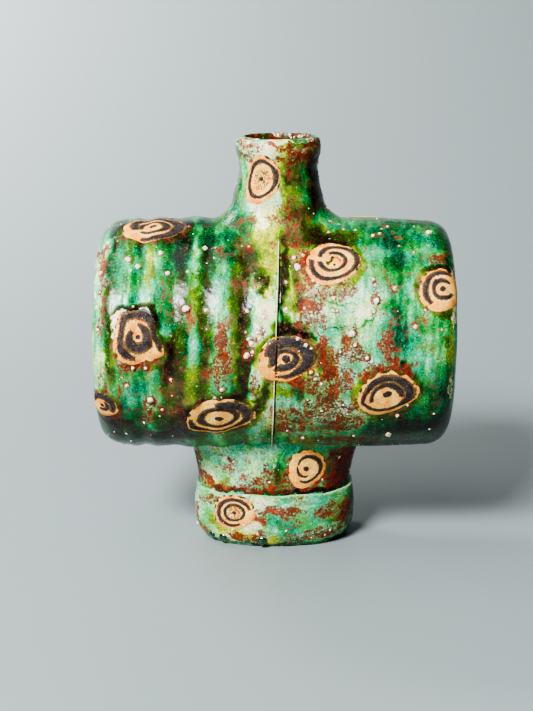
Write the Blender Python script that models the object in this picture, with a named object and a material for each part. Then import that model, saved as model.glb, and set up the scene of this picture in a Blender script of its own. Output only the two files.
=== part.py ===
"""Cocoon flower vase in glazed stoneware, in metres, +Z up.

The drum lies along X on an oval foot. The origin is on the floor under the middle of the foot, the front
is towards -Y, and +X is on the right when the vase is seen from the front.
"""

import math

import bmesh
import bpy
from mathutils import Vector

# Gap between pieces that touch
CLEARANCE = 0.0003

# Drum, two thrown cups that lap at the seam
DRUM_RADIUS = 0.068
DRUM_HALF_LENGTH = 0.106
DRUM_WALL = 0.006
END_WALL = 0.007
END_CROWN = 0.005
LEFT_TAPER = 0.0015
LEFT_SHOULDER_LENGTH = 0.017
LEFT_SHOULDER_DROP = 0.012
RIGHT_TAPER = 0.002
RIGHT_SHOULDER_LENGTH = 0.013
RIGHT_SHOULDER_DROP = 0.011
RIB_HEIGHT = 0.0006
SEAM_LEAN = 0.0023
LAP_REACH = 0.0025
LAP_PROUD = 0.0008
LAP_DEPTH = 0.0028

# Neck, a thrown tube whose tenon drops into the drum's crown
NECK_HEIGHT = 0.0474
NECK_OFFSET = 0.0023
LIP_RADIUS = 0.0249
BORE_RADIUS = 0.019
TENON_RADIUS = 0.0224
FLARE_SIDE_REACH = 0.038
FLARE_FRONT_REACH = 0.030
FLARE_EDGE = 0.0009

# Foot, an oval stem with a strip wrapped round its lower part
STEM_HEIGHT = 0.0566
FOOT_HALF_WIDTH = 0.0486
FOOT_HALF_DEPTH = 0.0336
STEM_WALL = 0.005
STEM_SIDE_FLARE = 0.0007
STEM_FRONT_FLARE = 0.004
BAND_HEIGHT = 0.033
BAND_THICKNESS = 0.0018
BAND_UNDERCUT = 0.0055
BAND_RAISE = 0.0006

# Pieces stuck on the outside
ROUNDEL_SIZE = 0.015
ROUNDEL_THICKNESS = 0.0012
COIL_HALF_WIDTH = 0.0010
COIL_THICKNESS = 0.0005
DRIP_SIZE = 0.0030
DRIP_THICKNESS = 0.0024
GRIT_SIZE = 0.0017
GRIT_THICKNESS = 0.0020
# Half the stretch of a skin over which its outward direction is taken
PROBE = 0.0005

DRUM_AXIS_Z = STEM_HEIGHT + DRUM_RADIUS
DRUM_CREST = DRUM_RADIUS + max(LAP_PROUD, RIB_HEIGHT)

DRUM_STEPS = 46
NECK_STEPS = 36
FOOT_STEPS = 40
SHOULDER_STEPS = 4
SMOOTH_SHOULDER_STEPS = 24
OVAL_POWER = 2.2

# Crests and hollows of the left half's throwing ribs, in turn, as shares of its barrel
RIB_TURN_SHARES = (0.095, 0.215, 0.353, 0.454, 0.568, 0.669, 0.808, 0.883, 0.959)
PLAIN_BARREL_SHARES = (0.25, 0.5, 0.75)
END_WALL_SHARES = (0.75, 0.4)

# The neck's outer outline from the lip down, as shares of its height and of the lip's radius
NECK_OUTLINE_SHARES = (
    (0.990, 0.960), (0.945, 0.995), (0.880, 1.000), (0.800, 0.985), (0.757, 0.952),
    (0.720, 0.955), (0.620, 0.918), (0.451, 0.978), (0.283, 1.056),
)
# The mouth's inside from the bore up to the rim, as shares of the same sizes
MOUTH_OUTLINE_SHARES = ((0.800, 0.768), (0.945, 0.795), (0.990, 0.830), (1.000, 0.895))
FLARE_STEPS = 4

# The band's outer outline from its top edge down, as shares of its height and of its undercut
BAND_OUTLINE_SHARES = ((1.0, 0.15), (0.66, 0.0), (0.36, 0.0), (0.20, 0.18), (0.09, 0.55), (0.0, 1.0))
STEM_RISE_SHARES = (0.25, 0.5, 0.75, 1.0)

COIL_STATIONS = 24
COIL_TURNS = 2.3
COIL_OUTER_SHARE = 0.76
COIL_INNER_SHARE = 0.06
DISC_STEPS = 16
DISC_WOBBLE = 0.05
LUMP_STEPS = 8
LUMP_WOBBLE = 0.04
GRIT_TURN_DEG = 30

# Sections of the stuck-on pieces, from the middle of the top to that of the underside, as shares of their
# half width and of their thickness
DISC_SECTION_SHARES = ((0.0, 1.0), (0.5, 1.0), (0.9, 0.95), (1.0, 0.5), (0.94, 0.0), (0.5, 0.0), (0.0, 0.0))
LUMP_SECTION_SHARES = ((0.0, 1.0), (0.6, 0.85), (1.0, 0.4), (0.75, 0.0), (0.0, 0.0))
# A disc that bends round the drum's shoulder has more rings, and its coil more stations
BENT_FROM_SHARE = 0.8
BENT_COIL_STATIONS = 34
BENT_DISC_SECTION_SHARES = (
    (0.0, 1.0), (0.25, 1.0), (0.5, 1.0), (0.72, 1.0), (0.9, 0.95), (1.0, 0.5),
    (0.94, 0.0), (0.75, 0.0), (0.5, 0.0), (0.25, 0.0), (0.0, 0.0),
)

# Each roundel on the drum: place along the drum as a share of its half length, degrees from the crown
# towards the front, half width and half height as shares of ROUNDEL_SIZE, thickness share, then its tilt
# and the coil's start in degrees
DRUM_ROUNDEL_SHARES = {
    "top_left": (-0.656, 15.5, 1.20, 1.02, 1.3, 0, 200),
    "left": (-0.700, 79.0, 0.93, 1.06, 2.3, 10, 120),
    "left_edge": (-0.905, 116.0, 0.60, 0.62, 1.2, 20, 30),
    "lower_left": (-0.283, 121.0, 1.30, 0.92, 1.2, 12, 20),
    "middle": (0.060, 89.0, 1.06, 0.86, 1.1, 0, 150),
    "upper_right": (0.292, 42.0, 1.03, 0.97, 1.2, 8, 210),
    "right_edge": (0.868, 55.8, 0.92, 0.88, 1.0, 5, 90),
    "lower_right": (0.590, 107.0, 1.10, 0.96, 1.2, 10, 170),
    "top_right": (0.505, -20.0, 0.92, 0.88, 1.0, 0, 60),
    "back_left": (-0.560, -68.0, 1.02, 0.93, 1.1, 15, 250),
    "back_middle": (-0.110, -97.0, 1.05, 0.90, 1.1, 0, 330),
    "back_right": (0.560, -84.0, 1.06, 0.95, 1.2, 170, 20),
    "back_lower_left": (-0.640, -122.0, 0.90, 0.85, 1.0, 25, 140),
    "back_lower_right": (0.260, -128.0, 1.12, 0.88, 1.1, 165, 75),
}

# Each roundel off the drum: the skin that carries it, share of that skin's height, degrees from the front
# to the right, then the same five values as above
OTHER_ROUNDEL_SHARES = {
    "neck": ("neck", 0.53, -24.0, 0.66, 0.80, 1.0, -12, 100),
    "stem": ("stem", 0.53, 31.0, 0.74, 0.82, 1.0, 15, 190),
    "foot": ("band", 0.66, -38.0, 0.82, 0.66, 1.0, 0, 140),
    "foot_back": ("band", 0.55, 140.0, 0.72, 0.66, 1.0, 0, 40),
}

# The beads of glaze on the band's lower edge: degrees from the front to the right, and size share
DRIP_SHARES = {"front": (-12.5, 1.0), "left": (-50.0, 0.85), "far_left": (-61.0, 0.7)}
DRIP_HEIGHT_SHARE = 0.14

# The places of the largest grit: share along the drum, degrees from the crown, size share
DRUM_GRIT_SHARES = (
    (-0.460, 66.0, 1.25), (-0.767, 40.3, 1.05), (-0.716, 44.0, 1.00), (-0.375, 33.3, 0.85),
    (-0.089, 75.0, 1.25), (-0.602, 36.5, 0.85), (-0.560, 48.0, 0.90), (-0.643, 110.4, 1.05),
    (0.107, 45.5, 1.15), (0.396, 77.5, 1.25), (0.522, 62.1, 1.05), (0.619, 137.0, 1.05),
    (0.823, 18.2, 1.05),
)


def clear_scene():
    for thing in list(bpy.data.objects):
        bpy.data.objects.remove(thing, do_unlink=True)


def finish(name, color, roughness):
    material = bpy.data.materials.new(name)
    material.use_nodes = True
    shader = material.node_tree.nodes["Principled BSDF"]
    shader.inputs["Base Color"].default_value = (*color, 1.0)
    shader.inputs["Roughness"].default_value = roughness
    shader.inputs["Metallic"].default_value = 0.0
    material.diffuse_color = (*color, 1.0)
    return material


def add_piece(name, mesh_maker, color, roughness):
    """A named object whose mesh is filled by mesh_maker, with its own material."""
    mesh = bpy.data.meshes.new(name)
    shape = bmesh.new()
    mesh_maker(shape)
    bmesh.ops.recalc_face_normals(shape, faces=shape.faces)
    shape.to_mesh(mesh)
    shape.free()
    mesh.shade_smooth()
    mesh.set_sharp_from_angle(angle=math.radians(40))
    mesh.materials.append(finish(name, color, roughness))
    piece = bpy.data.objects.new(name, mesh)
    bpy.context.collection.objects.link(piece)
    return piece


def skin_rings(shape, rings, closed=True):
    """Quads between rings of equally many points. Closed joins the last ring to the first."""
    corners = [[shape.verts.new(point) for point in ring] for ring in rings]
    pairs = list(zip(corners, corners[1:] + corners[:1] if closed else corners[1:]))
    for ring, after in pairs:
        for i, corner in enumerate(ring):
            j = (i + 1) % len(ring)
            shape.faces.new((corner, ring[j], after[j], after[i]))
    return corners


def skin_between_poles(shape, first_pole, rings, last_pole):
    """A closed skin from one point through the rings to another point."""
    corners = skin_rings(shape, rings, closed=False)
    for pole_point, ring in ((first_pole, corners[0]), (last_pole, corners[-1])):
        pole = shape.verts.new(pole_point)
        for i, corner in enumerate(ring):
            shape.faces.new((pole, corner, ring[(i + 1) % len(ring)]))


def skin_bar(shape, sections):
    """A bar through the sections, with a flat face at each end."""
    corners = skin_rings(shape, sections, closed=False)
    shape.faces.new(corners[0])
    shape.faces.new(corners[-1])


class DrumHalf:
    """One thrown cup: its side of the seam and the outline from the seam to its end wall."""

    def __init__(self, side, taper, shoulder_length, shoulder_drop, ribs):
        self.side = side
        self.taper = taper
        self.shoulder_length = shoulder_length
        self.shoulder_drop = shoulder_drop
        self.ribs = ribs

    def outline(self, inner=False, ribbed=False, steps=SHOULDER_STEPS):
        """Points (distance from the seam, radius), from past the lap to just short of the end's middle."""
        wall, end_wall = (DRUM_WALL, END_WALL) if inner else (0.0, 0.0)
        barrel = DRUM_HALF_LENGTH - END_CROWN - self.shoulder_length
        points = []
        if ribbed and self.ribs:
            for turn, share in enumerate(RIB_TURN_SHARES):
                rib = RIB_HEIGHT if turn % 2 == 0 else -RIB_HEIGHT
                points.append((share * barrel, DRUM_RADIUS - self.taper * share**2 + rib))
        else:
            for share in PLAIN_BARREL_SHARES:
                points.append((share * barrel, DRUM_RADIUS - wall - self.taper * share**2))
        for step in range(steps + 1):
            turn = math.pi / 2 * step / steps
            distance = barrel + self.shoulder_length * math.sin(turn) - end_wall * math.sin(turn)
            drop = self.taper + self.shoulder_drop * (1 - math.cos(turn)) + wall * math.cos(turn)
            points.append((distance, DRUM_RADIUS - drop))
        rim = DRUM_RADIUS - self.taper - self.shoulder_drop
        for share in END_WALL_SHARES:
            crown = END_CROWN * (1 - share**2)
            points.append((DRUM_HALF_LENGTH - END_CROWN - end_wall + crown, rim * share))
        return points

    def walk(self, length, ribbed):
        """The place (distance, radius) that lies this length along the outer outline from the seam."""
        start = DRUM_RADIUS + (LAP_PROUD if ribbed and self.ribs else 0.0)
        here = (0.0, start)
        for there in self.outline(ribbed=ribbed, steps=SMOOTH_SHOULDER_STEPS):
            stretch = math.dist(here, there)
            if length <= stretch:
                share = length / stretch
                return (here[0] + share * (there[0] - here[0]), here[1] + share * (there[1] - here[1]))
            length -= stretch
            here = there
        return here


LEFT = DrumHalf(-1, LEFT_TAPER, LEFT_SHOULDER_LENGTH, LEFT_SHOULDER_DROP, ribs=True)
RIGHT = DrumHalf(1, RIGHT_TAPER, RIGHT_SHOULDER_LENGTH, RIGHT_SHOULDER_DROP, ribs=False)


def drum_point(x, radius, angle):
    """A point of the drum. The angle runs from the crown forwards, and the seam leans right on top."""
    lean = SEAM_LEAN * math.cos(angle) * (1 - abs(x) / DRUM_HALF_LENGTH)
    return Vector((x + lean, -radius * math.sin(angle), DRUM_AXIS_Z + radius * math.cos(angle)))


def drum_ring(half, distance, radius):
    turns = (2 * math.pi * i / DRUM_STEPS for i in range(DRUM_STEPS))
    return [drum_point(half.side * distance, radius, turn) for turn in turns]


def drum_half_shape(half):
    """The cup's skin: outside from the end wall to the seam, round the lap, and back along the inside."""
    inner_radius = DRUM_RADIUS - DRUM_WALL
    if half is LEFT:
        tongue = DRUM_RADIUS - LAP_DEPTH
        lap = (
            (0.0, DRUM_RADIUS + LAP_PROUD), (-LAP_REACH, DRUM_RADIUS + LAP_PROUD),
            (-LAP_REACH, tongue), (LAP_REACH, tongue), (LAP_REACH, inner_radius),
        )
    else:
        rebate = DRUM_RADIUS - LAP_DEPTH - CLEARANCE
        shelf, nose = LAP_REACH + CLEARANCE, CLEARANCE - LAP_REACH
        lap = ((shelf, DRUM_RADIUS), (shelf, rebate), (nose, rebate), (nose, inner_radius))
    outside = list(reversed(half.outline(ribbed=True)))
    profile = (*outside, *lap, *half.outline(inner=True))
    rings = [drum_ring(half, distance, radius) for distance, radius in profile]
    outer_pole = drum_point(half.side * DRUM_HALF_LENGTH, 0.0, 0.0)
    inner_pole = drum_point(half.side * (DRUM_HALF_LENGTH - END_WALL), 0.0, 0.0)
    return lambda shape: skin_between_poles(shape, outer_pole, rings, inner_pole)


def neck_hole_cutter():
    """Guide for the round hole in the drum's crown, left out of the model."""
    height = NECK_HEIGHT + DRUM_RADIUS
    bpy.ops.mesh.primitive_cylinder_add(
        vertices=NECK_STEPS, radius=TENON_RADIUS + CLEARANCE, depth=height,
        location=(NECK_OFFSET, 0.0, DRUM_AXIS_Z + height / 2),
    )
    cutter = bpy.context.object
    cutter.name = "neck_hole_cutter"
    cutter.hide_render = True
    cutter.display_type = "WIRE"
    return cutter


def build_drum():
    cutter = neck_hole_cutter()
    for name, half, color in (
        ("left_drum_half", LEFT, (0.10, 0.42, 0.26)),
        ("right_drum_half", RIGHT, (0.17, 0.48, 0.32)),
    ):
        piece = add_piece(name, drum_half_shape(half), color, 0.2)
        hole = piece.modifiers.new("neck_hole", "BOOLEAN")
        hole.operation = "DIFFERENCE"
        hole.solver = "EXACT"
        hole.object = cutter


def saddle_height(y, radius):
    """How far a lying cylinder's skin is above or below its axis at this distance from the middle."""
    return math.sqrt(radius**2 - y**2)


def neck_section(turn):
    """One loop of the neck's section, from the rim down outside, under the flare, and up the bore."""
    out = Vector((math.cos(turn), math.sin(turn), 0.0))
    crown = DRUM_AXIS_Z + DRUM_RADIUS

    def at(radius, height):
        return Vector((NECK_OFFSET, 0.0, height)) + out * radius

    def seat(radius):
        return DRUM_AXIS_Z + saddle_height(out.y * radius, DRUM_CREST + CLEARANCE)

    section = [at(share * LIP_RADIUS, crown + up * NECK_HEIGHT) for up, share in NECK_OUTLINE_SHARES]
    last_up, last_share = NECK_OUTLINE_SHARES[-1]
    top, throat = crown + last_up * NECK_HEIGHT, last_share * LIP_RADIUS
    reach = FLARE_SIDE_REACH + (FLARE_FRONT_REACH - FLARE_SIDE_REACH) * out.y**2
    edge = seat(reach) + FLARE_EDGE
    for step in range(1, FLARE_STEPS + 1):
        bend = math.pi / 2 * step / FLARE_STEPS
        radius = throat + (reach - throat) * (1 - math.cos(bend))
        section.append(at(radius, top - (top - edge) * math.sin(bend)))
    inside = DRUM_AXIS_Z + saddle_height(out.y * TENON_RADIUS, DRUM_RADIUS - DRUM_WALL)
    section.append(at(reach, seat(reach)))
    section.append(at(TENON_RADIUS, seat(TENON_RADIUS)))
    section.append(at(TENON_RADIUS, inside))
    section.append(at(BORE_RADIUS, inside))
    section += [at(share * LIP_RADIUS, crown + up * NECK_HEIGHT) for up, share in MOUTH_OUTLINE_SHARES]
    return section


def build_neck():
    sections = [neck_section(2 * math.pi * i / NECK_STEPS) for i in range(NECK_STEPS)]
    add_piece("neck", lambda shape: skin_rings(shape, sections), (0.30, 0.42, 0.16), 0.2)


def neck_skin(height_share, angle_deg):
    """The neck's outside round one place, as (across, up) to a point; the angle runs from front to right."""
    crown = DRUM_AXIS_Z + DRUM_RADIUS

    def skin(across, up):
        height = height_share * NECK_HEIGHT + up
        radius = share_between(NECK_OUTLINE_SHARES, height / NECK_HEIGHT) * LIP_RADIUS
        turn = math.radians(angle_deg) + across / LIP_RADIUS
        return Vector(
            (NECK_OFFSET + radius * math.sin(turn), -radius * math.cos(turn), crown + height)
        )

    return skin


def share_between(outline_shares, height_share):
    """The second share at this height share, on straight runs between an outline's points."""
    for (high, at_high), (low, at_low) in zip(outline_shares, outline_shares[1:]):
        if height_share >= low:
            part = min((height_share - low) / (high - low), 1.0)
            return at_low + part * (at_high - at_low)
    return outline_shares[-1][1]


def oval_point(inset, angle, height):
    """A point of the foot's oval, set in evenly. The angle runs from the front to the right."""
    across, deep = math.sin(angle), math.cos(angle)
    half_width, half_depth = FOOT_HALF_WIDTH - inset, FOOT_HALF_DEPTH - inset
    spread = abs(across / half_width) ** OVAL_POWER + abs(deep / half_depth) ** OVAL_POWER
    radius = spread ** (-1 / OVAL_POWER)
    return Vector((radius * across, -radius * deep, height))


def stem_rim(inset, angle):
    """A point of the stem's saddle-cut top, on the drum's underside."""
    point = oval_point(inset, angle, 0.0)
    point.z = DRUM_AXIS_Z - saddle_height(point.y, DRUM_CREST + CLEARANCE)
    return point


def stem_wall_point(angle, rise):
    """A point of the stem's outside above the band, at this share of the way to the drum."""
    top_inset = BAND_OUTLINE_SHARES[0][1] * BAND_UNDERCUT + BAND_THICKNESS + CLEARANCE
    flare = STEM_SIDE_FLARE + (STEM_FRONT_FLARE - STEM_SIDE_FLARE) * math.cos(angle) ** 2
    inset = top_inset - (top_inset + flare) * rise**1.5
    rim = stem_rim(-flare, angle)
    band_top = BAND_RAISE + BAND_HEIGHT
    return oval_point(inset, angle, band_top + (rim.z - band_top) * rise)


def stem_section(angle):
    behind_band = BAND_THICKNESS + CLEARANCE
    bottom = BAND_UNDERCUT + behind_band
    flare = STEM_SIDE_FLARE + (STEM_FRONT_FLARE - STEM_SIDE_FLARE) * math.cos(angle) ** 2
    section = [oval_point(bottom, angle, 0.0)]
    for height, inset in reversed(BAND_OUTLINE_SHARES):
        place = BAND_RAISE + height * BAND_HEIGHT
        section.append(oval_point(inset * BAND_UNDERCUT + behind_band, angle, place))
    section += [stem_wall_point(angle, rise) for rise in STEM_RISE_SHARES]
    section.append(stem_rim(STEM_WALL - flare, angle))
    section.append(oval_point(behind_band + STEM_WALL, angle, BAND_HEIGHT))
    section.append(oval_point(bottom + STEM_WALL, angle, 0.0))
    return section


def band_point(inset, angle, height_share):
    undercut = share_between(BAND_OUTLINE_SHARES, height_share) * BAND_UNDERCUT
    return oval_point(undercut + inset, angle, BAND_RAISE + height_share * BAND_HEIGHT)


def band_section(angle):
    heights = [height for height, _ in BAND_OUTLINE_SHARES]
    outside = [band_point(0.0, angle, height) for height in heights]
    inside = [band_point(BAND_THICKNESS, angle, height) for height in reversed(heights)]
    return outside + inside


def build_foot():
    """The stem is a closed ring. The band is a strip whose two ends meet at the back."""
    turns = [2 * math.pi * i / FOOT_STEPS for i in range(FOOT_STEPS)]
    stem = [stem_section(turn) for turn in turns]
    add_piece("foot_stem", lambda shape: skin_rings(shape, stem), (0.22, 0.40, 0.28), 0.22)
    meeting = CLEARANCE / FOOT_HALF_DEPTH
    start, end = math.pi + meeting / 2, 3 * math.pi - meeting / 2
    band = [band_section(start + (end - start) * i / FOOT_STEPS) for i in range(FOOT_STEPS + 1)]
    add_piece("foot_band", lambda shape: skin_bar(shape, band), (0.30, 0.55, 0.40), 0.22)


def drum_skin(along_share, angle_deg, ribbed=False):
    """The drum's outside round one place, as (across, up) to a point; the angle runs from crown to front."""
    start = along_share * DRUM_HALF_LENGTH

    def skin(across, up):
        along = start + across
        half = LEFT if along < 0 else RIGHT
        distance, radius = half.walk(abs(along), ribbed)
        return drum_point(half.side * distance, radius, math.radians(angle_deg) - up / DRUM_RADIUS)

    return skin


def stem_skin(rise_share, angle_deg):
    """The stem's outside round one place, as (across, up) to a point; the angle runs from front to right."""
    middle = math.radians(angle_deg)
    radius = oval_point(0.0, middle, 0.0).length
    height = stem_rim(0.0, middle).z - BAND_RAISE - BAND_HEIGHT

    def skin(across, up):
        return stem_wall_point(middle + across / radius, rise_share + up / height)

    return skin


def band_skin(height_share, angle_deg):
    middle = math.radians(angle_deg)
    radius = oval_point(0.0, middle, 0.0).length

    def skin(across, up):
        return band_point(0.0, middle + across / radius, height_share + up / BAND_HEIGHT)

    return skin


def lifted(skin, across, up, lift):
    """A point this far off a skin, along the skin's outward direction there."""
    sideways = skin(across + PROBE, up) - skin(across - PROBE, up)
    upwards = skin(across, up + PROBE) - skin(across, up - PROBE)
    return skin(across, up) + sideways.cross(upwards).normalized() * lift


class Patch:
    """A place on a skin with its own half width, half height and tilt, for a piece stuck on there."""

    def __init__(self, skin, half_width, half_height, tilt_deg, thickness, rise=0.0):
        self.skin = skin
        self.half_width = half_width
        self.half_height = half_height
        self.tilt = math.radians(tilt_deg)
        self.thickness = thickness
        self.lift = rise + CLEARANCE

    def point(self, turn, share, lift, wobble=0.0):
        phase = self.tilt + turn
        reach = share * (1 + wobble * math.cos(3 * phase) + wobble * math.sin(2 * phase))
        right = self.half_width * reach * math.cos(turn)
        over = self.half_height * reach * math.sin(turn)
        across = right * math.cos(self.tilt) - over * math.sin(self.tilt)
        up = right * math.sin(self.tilt) + over * math.cos(self.tilt)
        return lifted(self.skin, across, up, self.lift + lift)


def stuck_on_shape(patch, section_shares, steps, wobble):
    """A lump or disc on a skin. Its section runs from the middle of its top to that of its underside."""
    turns = [2 * math.pi * i / steps for i in range(steps)]
    rings = [
        [patch.point(turn, reach, height * patch.thickness, wobble * reach) for turn in turns]
        for reach, height in section_shares[1:-1]
    ]
    top = patch.point(0.0, 0.0, section_shares[0][1] * patch.thickness)
    bottom = patch.point(0.0, 0.0, section_shares[-1][1] * patch.thickness)
    return lambda shape: skin_between_poles(shape, top, rings, bottom)


def coil_shape(patch, start_deg, stations):
    """The dark strip rolled up with the disc, from its outer end in to the middle."""
    low = patch.thickness + CLEARANCE
    high = low + COIL_THICKNESS
    half_share = COIL_HALF_WIDTH / patch.half_height
    sections = []
    for station in range(stations):
        way = station / (stations - 1)
        turn = math.radians(start_deg) + 2 * math.pi * COIL_TURNS * way**0.8
        middle = COIL_OUTER_SHARE + (COIL_INNER_SHARE - COIL_OUTER_SHARE) * way**0.9
        outer, inner = middle + half_share, max(middle - half_share, COIL_INNER_SHARE / 2)
        sections.append(
            [patch.point(turn, share, lift) for share, lift in
             ((outer, low), (outer, high), (inner, high), (inner, low))]
        )
    return lambda shape: skin_bar(shape, sections)


def build_roundel(name, skin, shares, rise=0.0, bent=False):
    width, height, thickness, tilt, start = shares
    patch = Patch(
        skin, width * ROUNDEL_SIZE, height * ROUNDEL_SIZE, tilt, thickness * ROUNDEL_THICKNESS, rise
    )
    section = BENT_DISC_SECTION_SHARES if bent else DISC_SECTION_SHARES
    disc = stuck_on_shape(patch, section, DISC_STEPS, DISC_WOBBLE)
    coil = coil_shape(patch, start, BENT_COIL_STATIONS if bent else COIL_STATIONS)
    add_piece(f"roundel_{name}", disc, (0.80, 0.56, 0.33), 0.75)
    add_piece(f"dark_coil_{name}", coil, (0.09, 0.07, 0.07), 0.7)


def build_roundels():
    """On the left half they lie on the crests of the ribs, and over the seam on the proud edge of the lap."""
    for name, (along, angle, *shares) in DRUM_ROUNDEL_SHARES.items():
        reach = shares[0] * ROUNDEL_SIZE / DRUM_HALF_LENGTH
        crosses_seam = abs(along) < reach + LAP_REACH / DRUM_HALF_LENGTH
        rise = LAP_PROUD if crosses_seam else RIB_HEIGHT if along < 0 else 0.0
        bent = abs(along) + reach > BENT_FROM_SHARE
        build_roundel(name, drum_skin(along, angle), shares, rise, bent)
    carriers = {"neck": neck_skin, "stem": stem_skin, "band": band_skin}
    for name, (carrier, height_share, angle, *shares) in OTHER_ROUNDEL_SHARES.items():
        build_roundel(name, carriers[carrier](height_share, angle), shares, bent=carrier != "band")


def build_lump(name, skin, size, thickness, turn_deg, color, roughness):
    patch = Patch(skin, size, size, turn_deg, thickness)
    lump = stuck_on_shape(patch, LUMP_SECTION_SHARES, LUMP_STEPS, LUMP_WOBBLE)
    add_piece(name, lump, color, roughness)


def build_lumps():
    """Beads of glaze on the foot's lower edge, and the largest grains of grit."""
    for name, (angle, share) in DRIP_SHARES.items():
        skin = band_skin(DRIP_HEIGHT_SHARE, angle)
        size, thickness = share * DRIP_SIZE, share * DRIP_THICKNESS
        build_lump(f"drip_{name}", skin, size, thickness, 0, (0.02, 0.10, 0.06), 0.05)
    for number, (along, angle, share) in enumerate(DRUM_GRIT_SHARES, start=1):
        skin = drum_skin(along, angle, ribbed=True)
        turn = GRIT_TURN_DEG * number
        size, thickness = share * GRIT_SIZE, share * GRIT_THICKNESS
        build_lump(f"grit_{number:02d}", skin, size, thickness, turn, (0.88, 0.85, 0.80), 0.45)


clear_scene()
build_drum()
build_neck()
build_foot()
build_roundels()
build_lumps()
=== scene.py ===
import math

import bpy
import numpy as np
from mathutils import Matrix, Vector
from mathutils.bvhtree import BVHTree


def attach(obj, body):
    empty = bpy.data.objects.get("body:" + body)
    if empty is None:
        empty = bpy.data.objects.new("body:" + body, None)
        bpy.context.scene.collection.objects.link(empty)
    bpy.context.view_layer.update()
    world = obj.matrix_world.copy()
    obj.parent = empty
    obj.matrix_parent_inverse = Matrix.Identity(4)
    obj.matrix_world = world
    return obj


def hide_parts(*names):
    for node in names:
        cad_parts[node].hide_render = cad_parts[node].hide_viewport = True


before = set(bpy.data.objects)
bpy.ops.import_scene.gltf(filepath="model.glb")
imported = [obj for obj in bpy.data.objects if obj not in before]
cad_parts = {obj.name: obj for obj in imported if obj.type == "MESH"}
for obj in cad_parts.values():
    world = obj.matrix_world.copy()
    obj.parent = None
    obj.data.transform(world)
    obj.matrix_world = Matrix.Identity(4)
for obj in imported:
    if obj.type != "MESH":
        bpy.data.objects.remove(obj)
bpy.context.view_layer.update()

# Left cup of the drum. It was thrown on the wheel as a deep cup with finger ribs, then turned on its side.
# Stoneware under a copper glaze that ran off the ribs and broke pale on their crests. Its lip laps over
# the right cup and was left as a raised cut edge.

MM = 0.001
DRUM_RADIUS = 68 * MM
DRUM_AXIS_Z = 124.6 * MM
DRUM_HALF_LENGTH = 106 * MM
END_CROWN = 5 * MM
DRUM_WALL = 6 * MM
SEAM_LEAN = 2.3 * MM
LAP_REACH = 2.5 * MM
LAP_DEPTH = 2.8 * MM
RIGHT_CUP_START = 1.8 * MM
NECK_X = 2.3 * MM


def spots_at(*coordinates):
    """Points from their coordinates, each spread out to the shape of the others."""
    return np.stack(np.broadcast_arrays(*coordinates), axis=-1)


def full_turn(steps):
    return np.linspace(0, 2 * math.pi, steps, endpoint=False)


def ripple(points, wavelength, seed, count=14):
    """An even, handmade-looking wave over the points, about -1 to 1, the same each run."""
    draw = np.random.RandomState(seed)
    ways = draw.normal(size=(count, 3))
    ways /= np.linalg.norm(ways, axis=1)[:, None]
    lengths = wavelength * draw.uniform(0.7, 1.5, count)
    starts = draw.uniform(0, 2 * math.pi, count)
    turns = points.reshape(-1, 3) @ (ways / lengths[:, None]).T * 2 * math.pi + starts
    total = np.sin(turns).sum(axis=1) / math.sqrt(count / 2) * 0.6
    return total.reshape(points.shape[:-1])


def uneven(points, seed, *waves):
    """The sum of ripples, each given as its height and its length in mm."""
    return sum(height * ripple(points, length * MM, seed + i) for i, (height, length) in enumerate(waves))


def ease(value, low, high):
    """0 below low, 1 above high, and smooth between them. High may be the smaller one."""
    share = np.clip((value - low) / (high - low), 0, 1)
    return share * share * (3 - 2 * share)


def made_mesh(name, corners, faces, layers=None):
    """A smooth-shaded mesh object with its paint layers as point attributes, its faces turned outwards."""
    mesh = bpy.data.meshes.new(name)
    mesh.vertices.add(len(corners))
    mesh.vertices.foreach_set("co", np.asarray(corners, np.float32).ravel())
    sizes = np.array([len(face) for face in faces], np.int32)
    flat = np.array([corner for face in faces for corner in face], np.int32)
    mesh.loops.add(len(flat))
    mesh.loops.foreach_set("vertex_index", flat)
    mesh.polygons.add(len(faces))
    starts = np.cumsum(sizes) - sizes
    mesh.polygons.foreach_set("loop_start", starts.astype(np.int32))
    mesh.update(calc_edges=True)
    for layer, values in (layers or {}).items():
        mesh.attributes.new(layer, "FLOAT", "POINT").data.foreach_set(
            "value", np.asarray(values, np.float32).ravel())
    mesh.shade_smooth()
    mesh.set_sharp_from_angle(angle=math.radians(58))
    piece = bpy.data.objects.new(name, mesh)
    bpy.context.collection.objects.link(piece)
    return piece


def softened(points, times):
    """The points with each but the first and last drawn towards its neighbours, again and again."""
    for _ in range(times):
        points[1:-1] = (points[:-2] + 2 * points[1:-1] + points[2:]) / 4
    return points


def way_along(points):
    """How far each point lies along the line through them all."""
    return np.concatenate(([0.0], np.cumsum(np.hypot(*np.diff(points, axis=0).T))))


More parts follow.
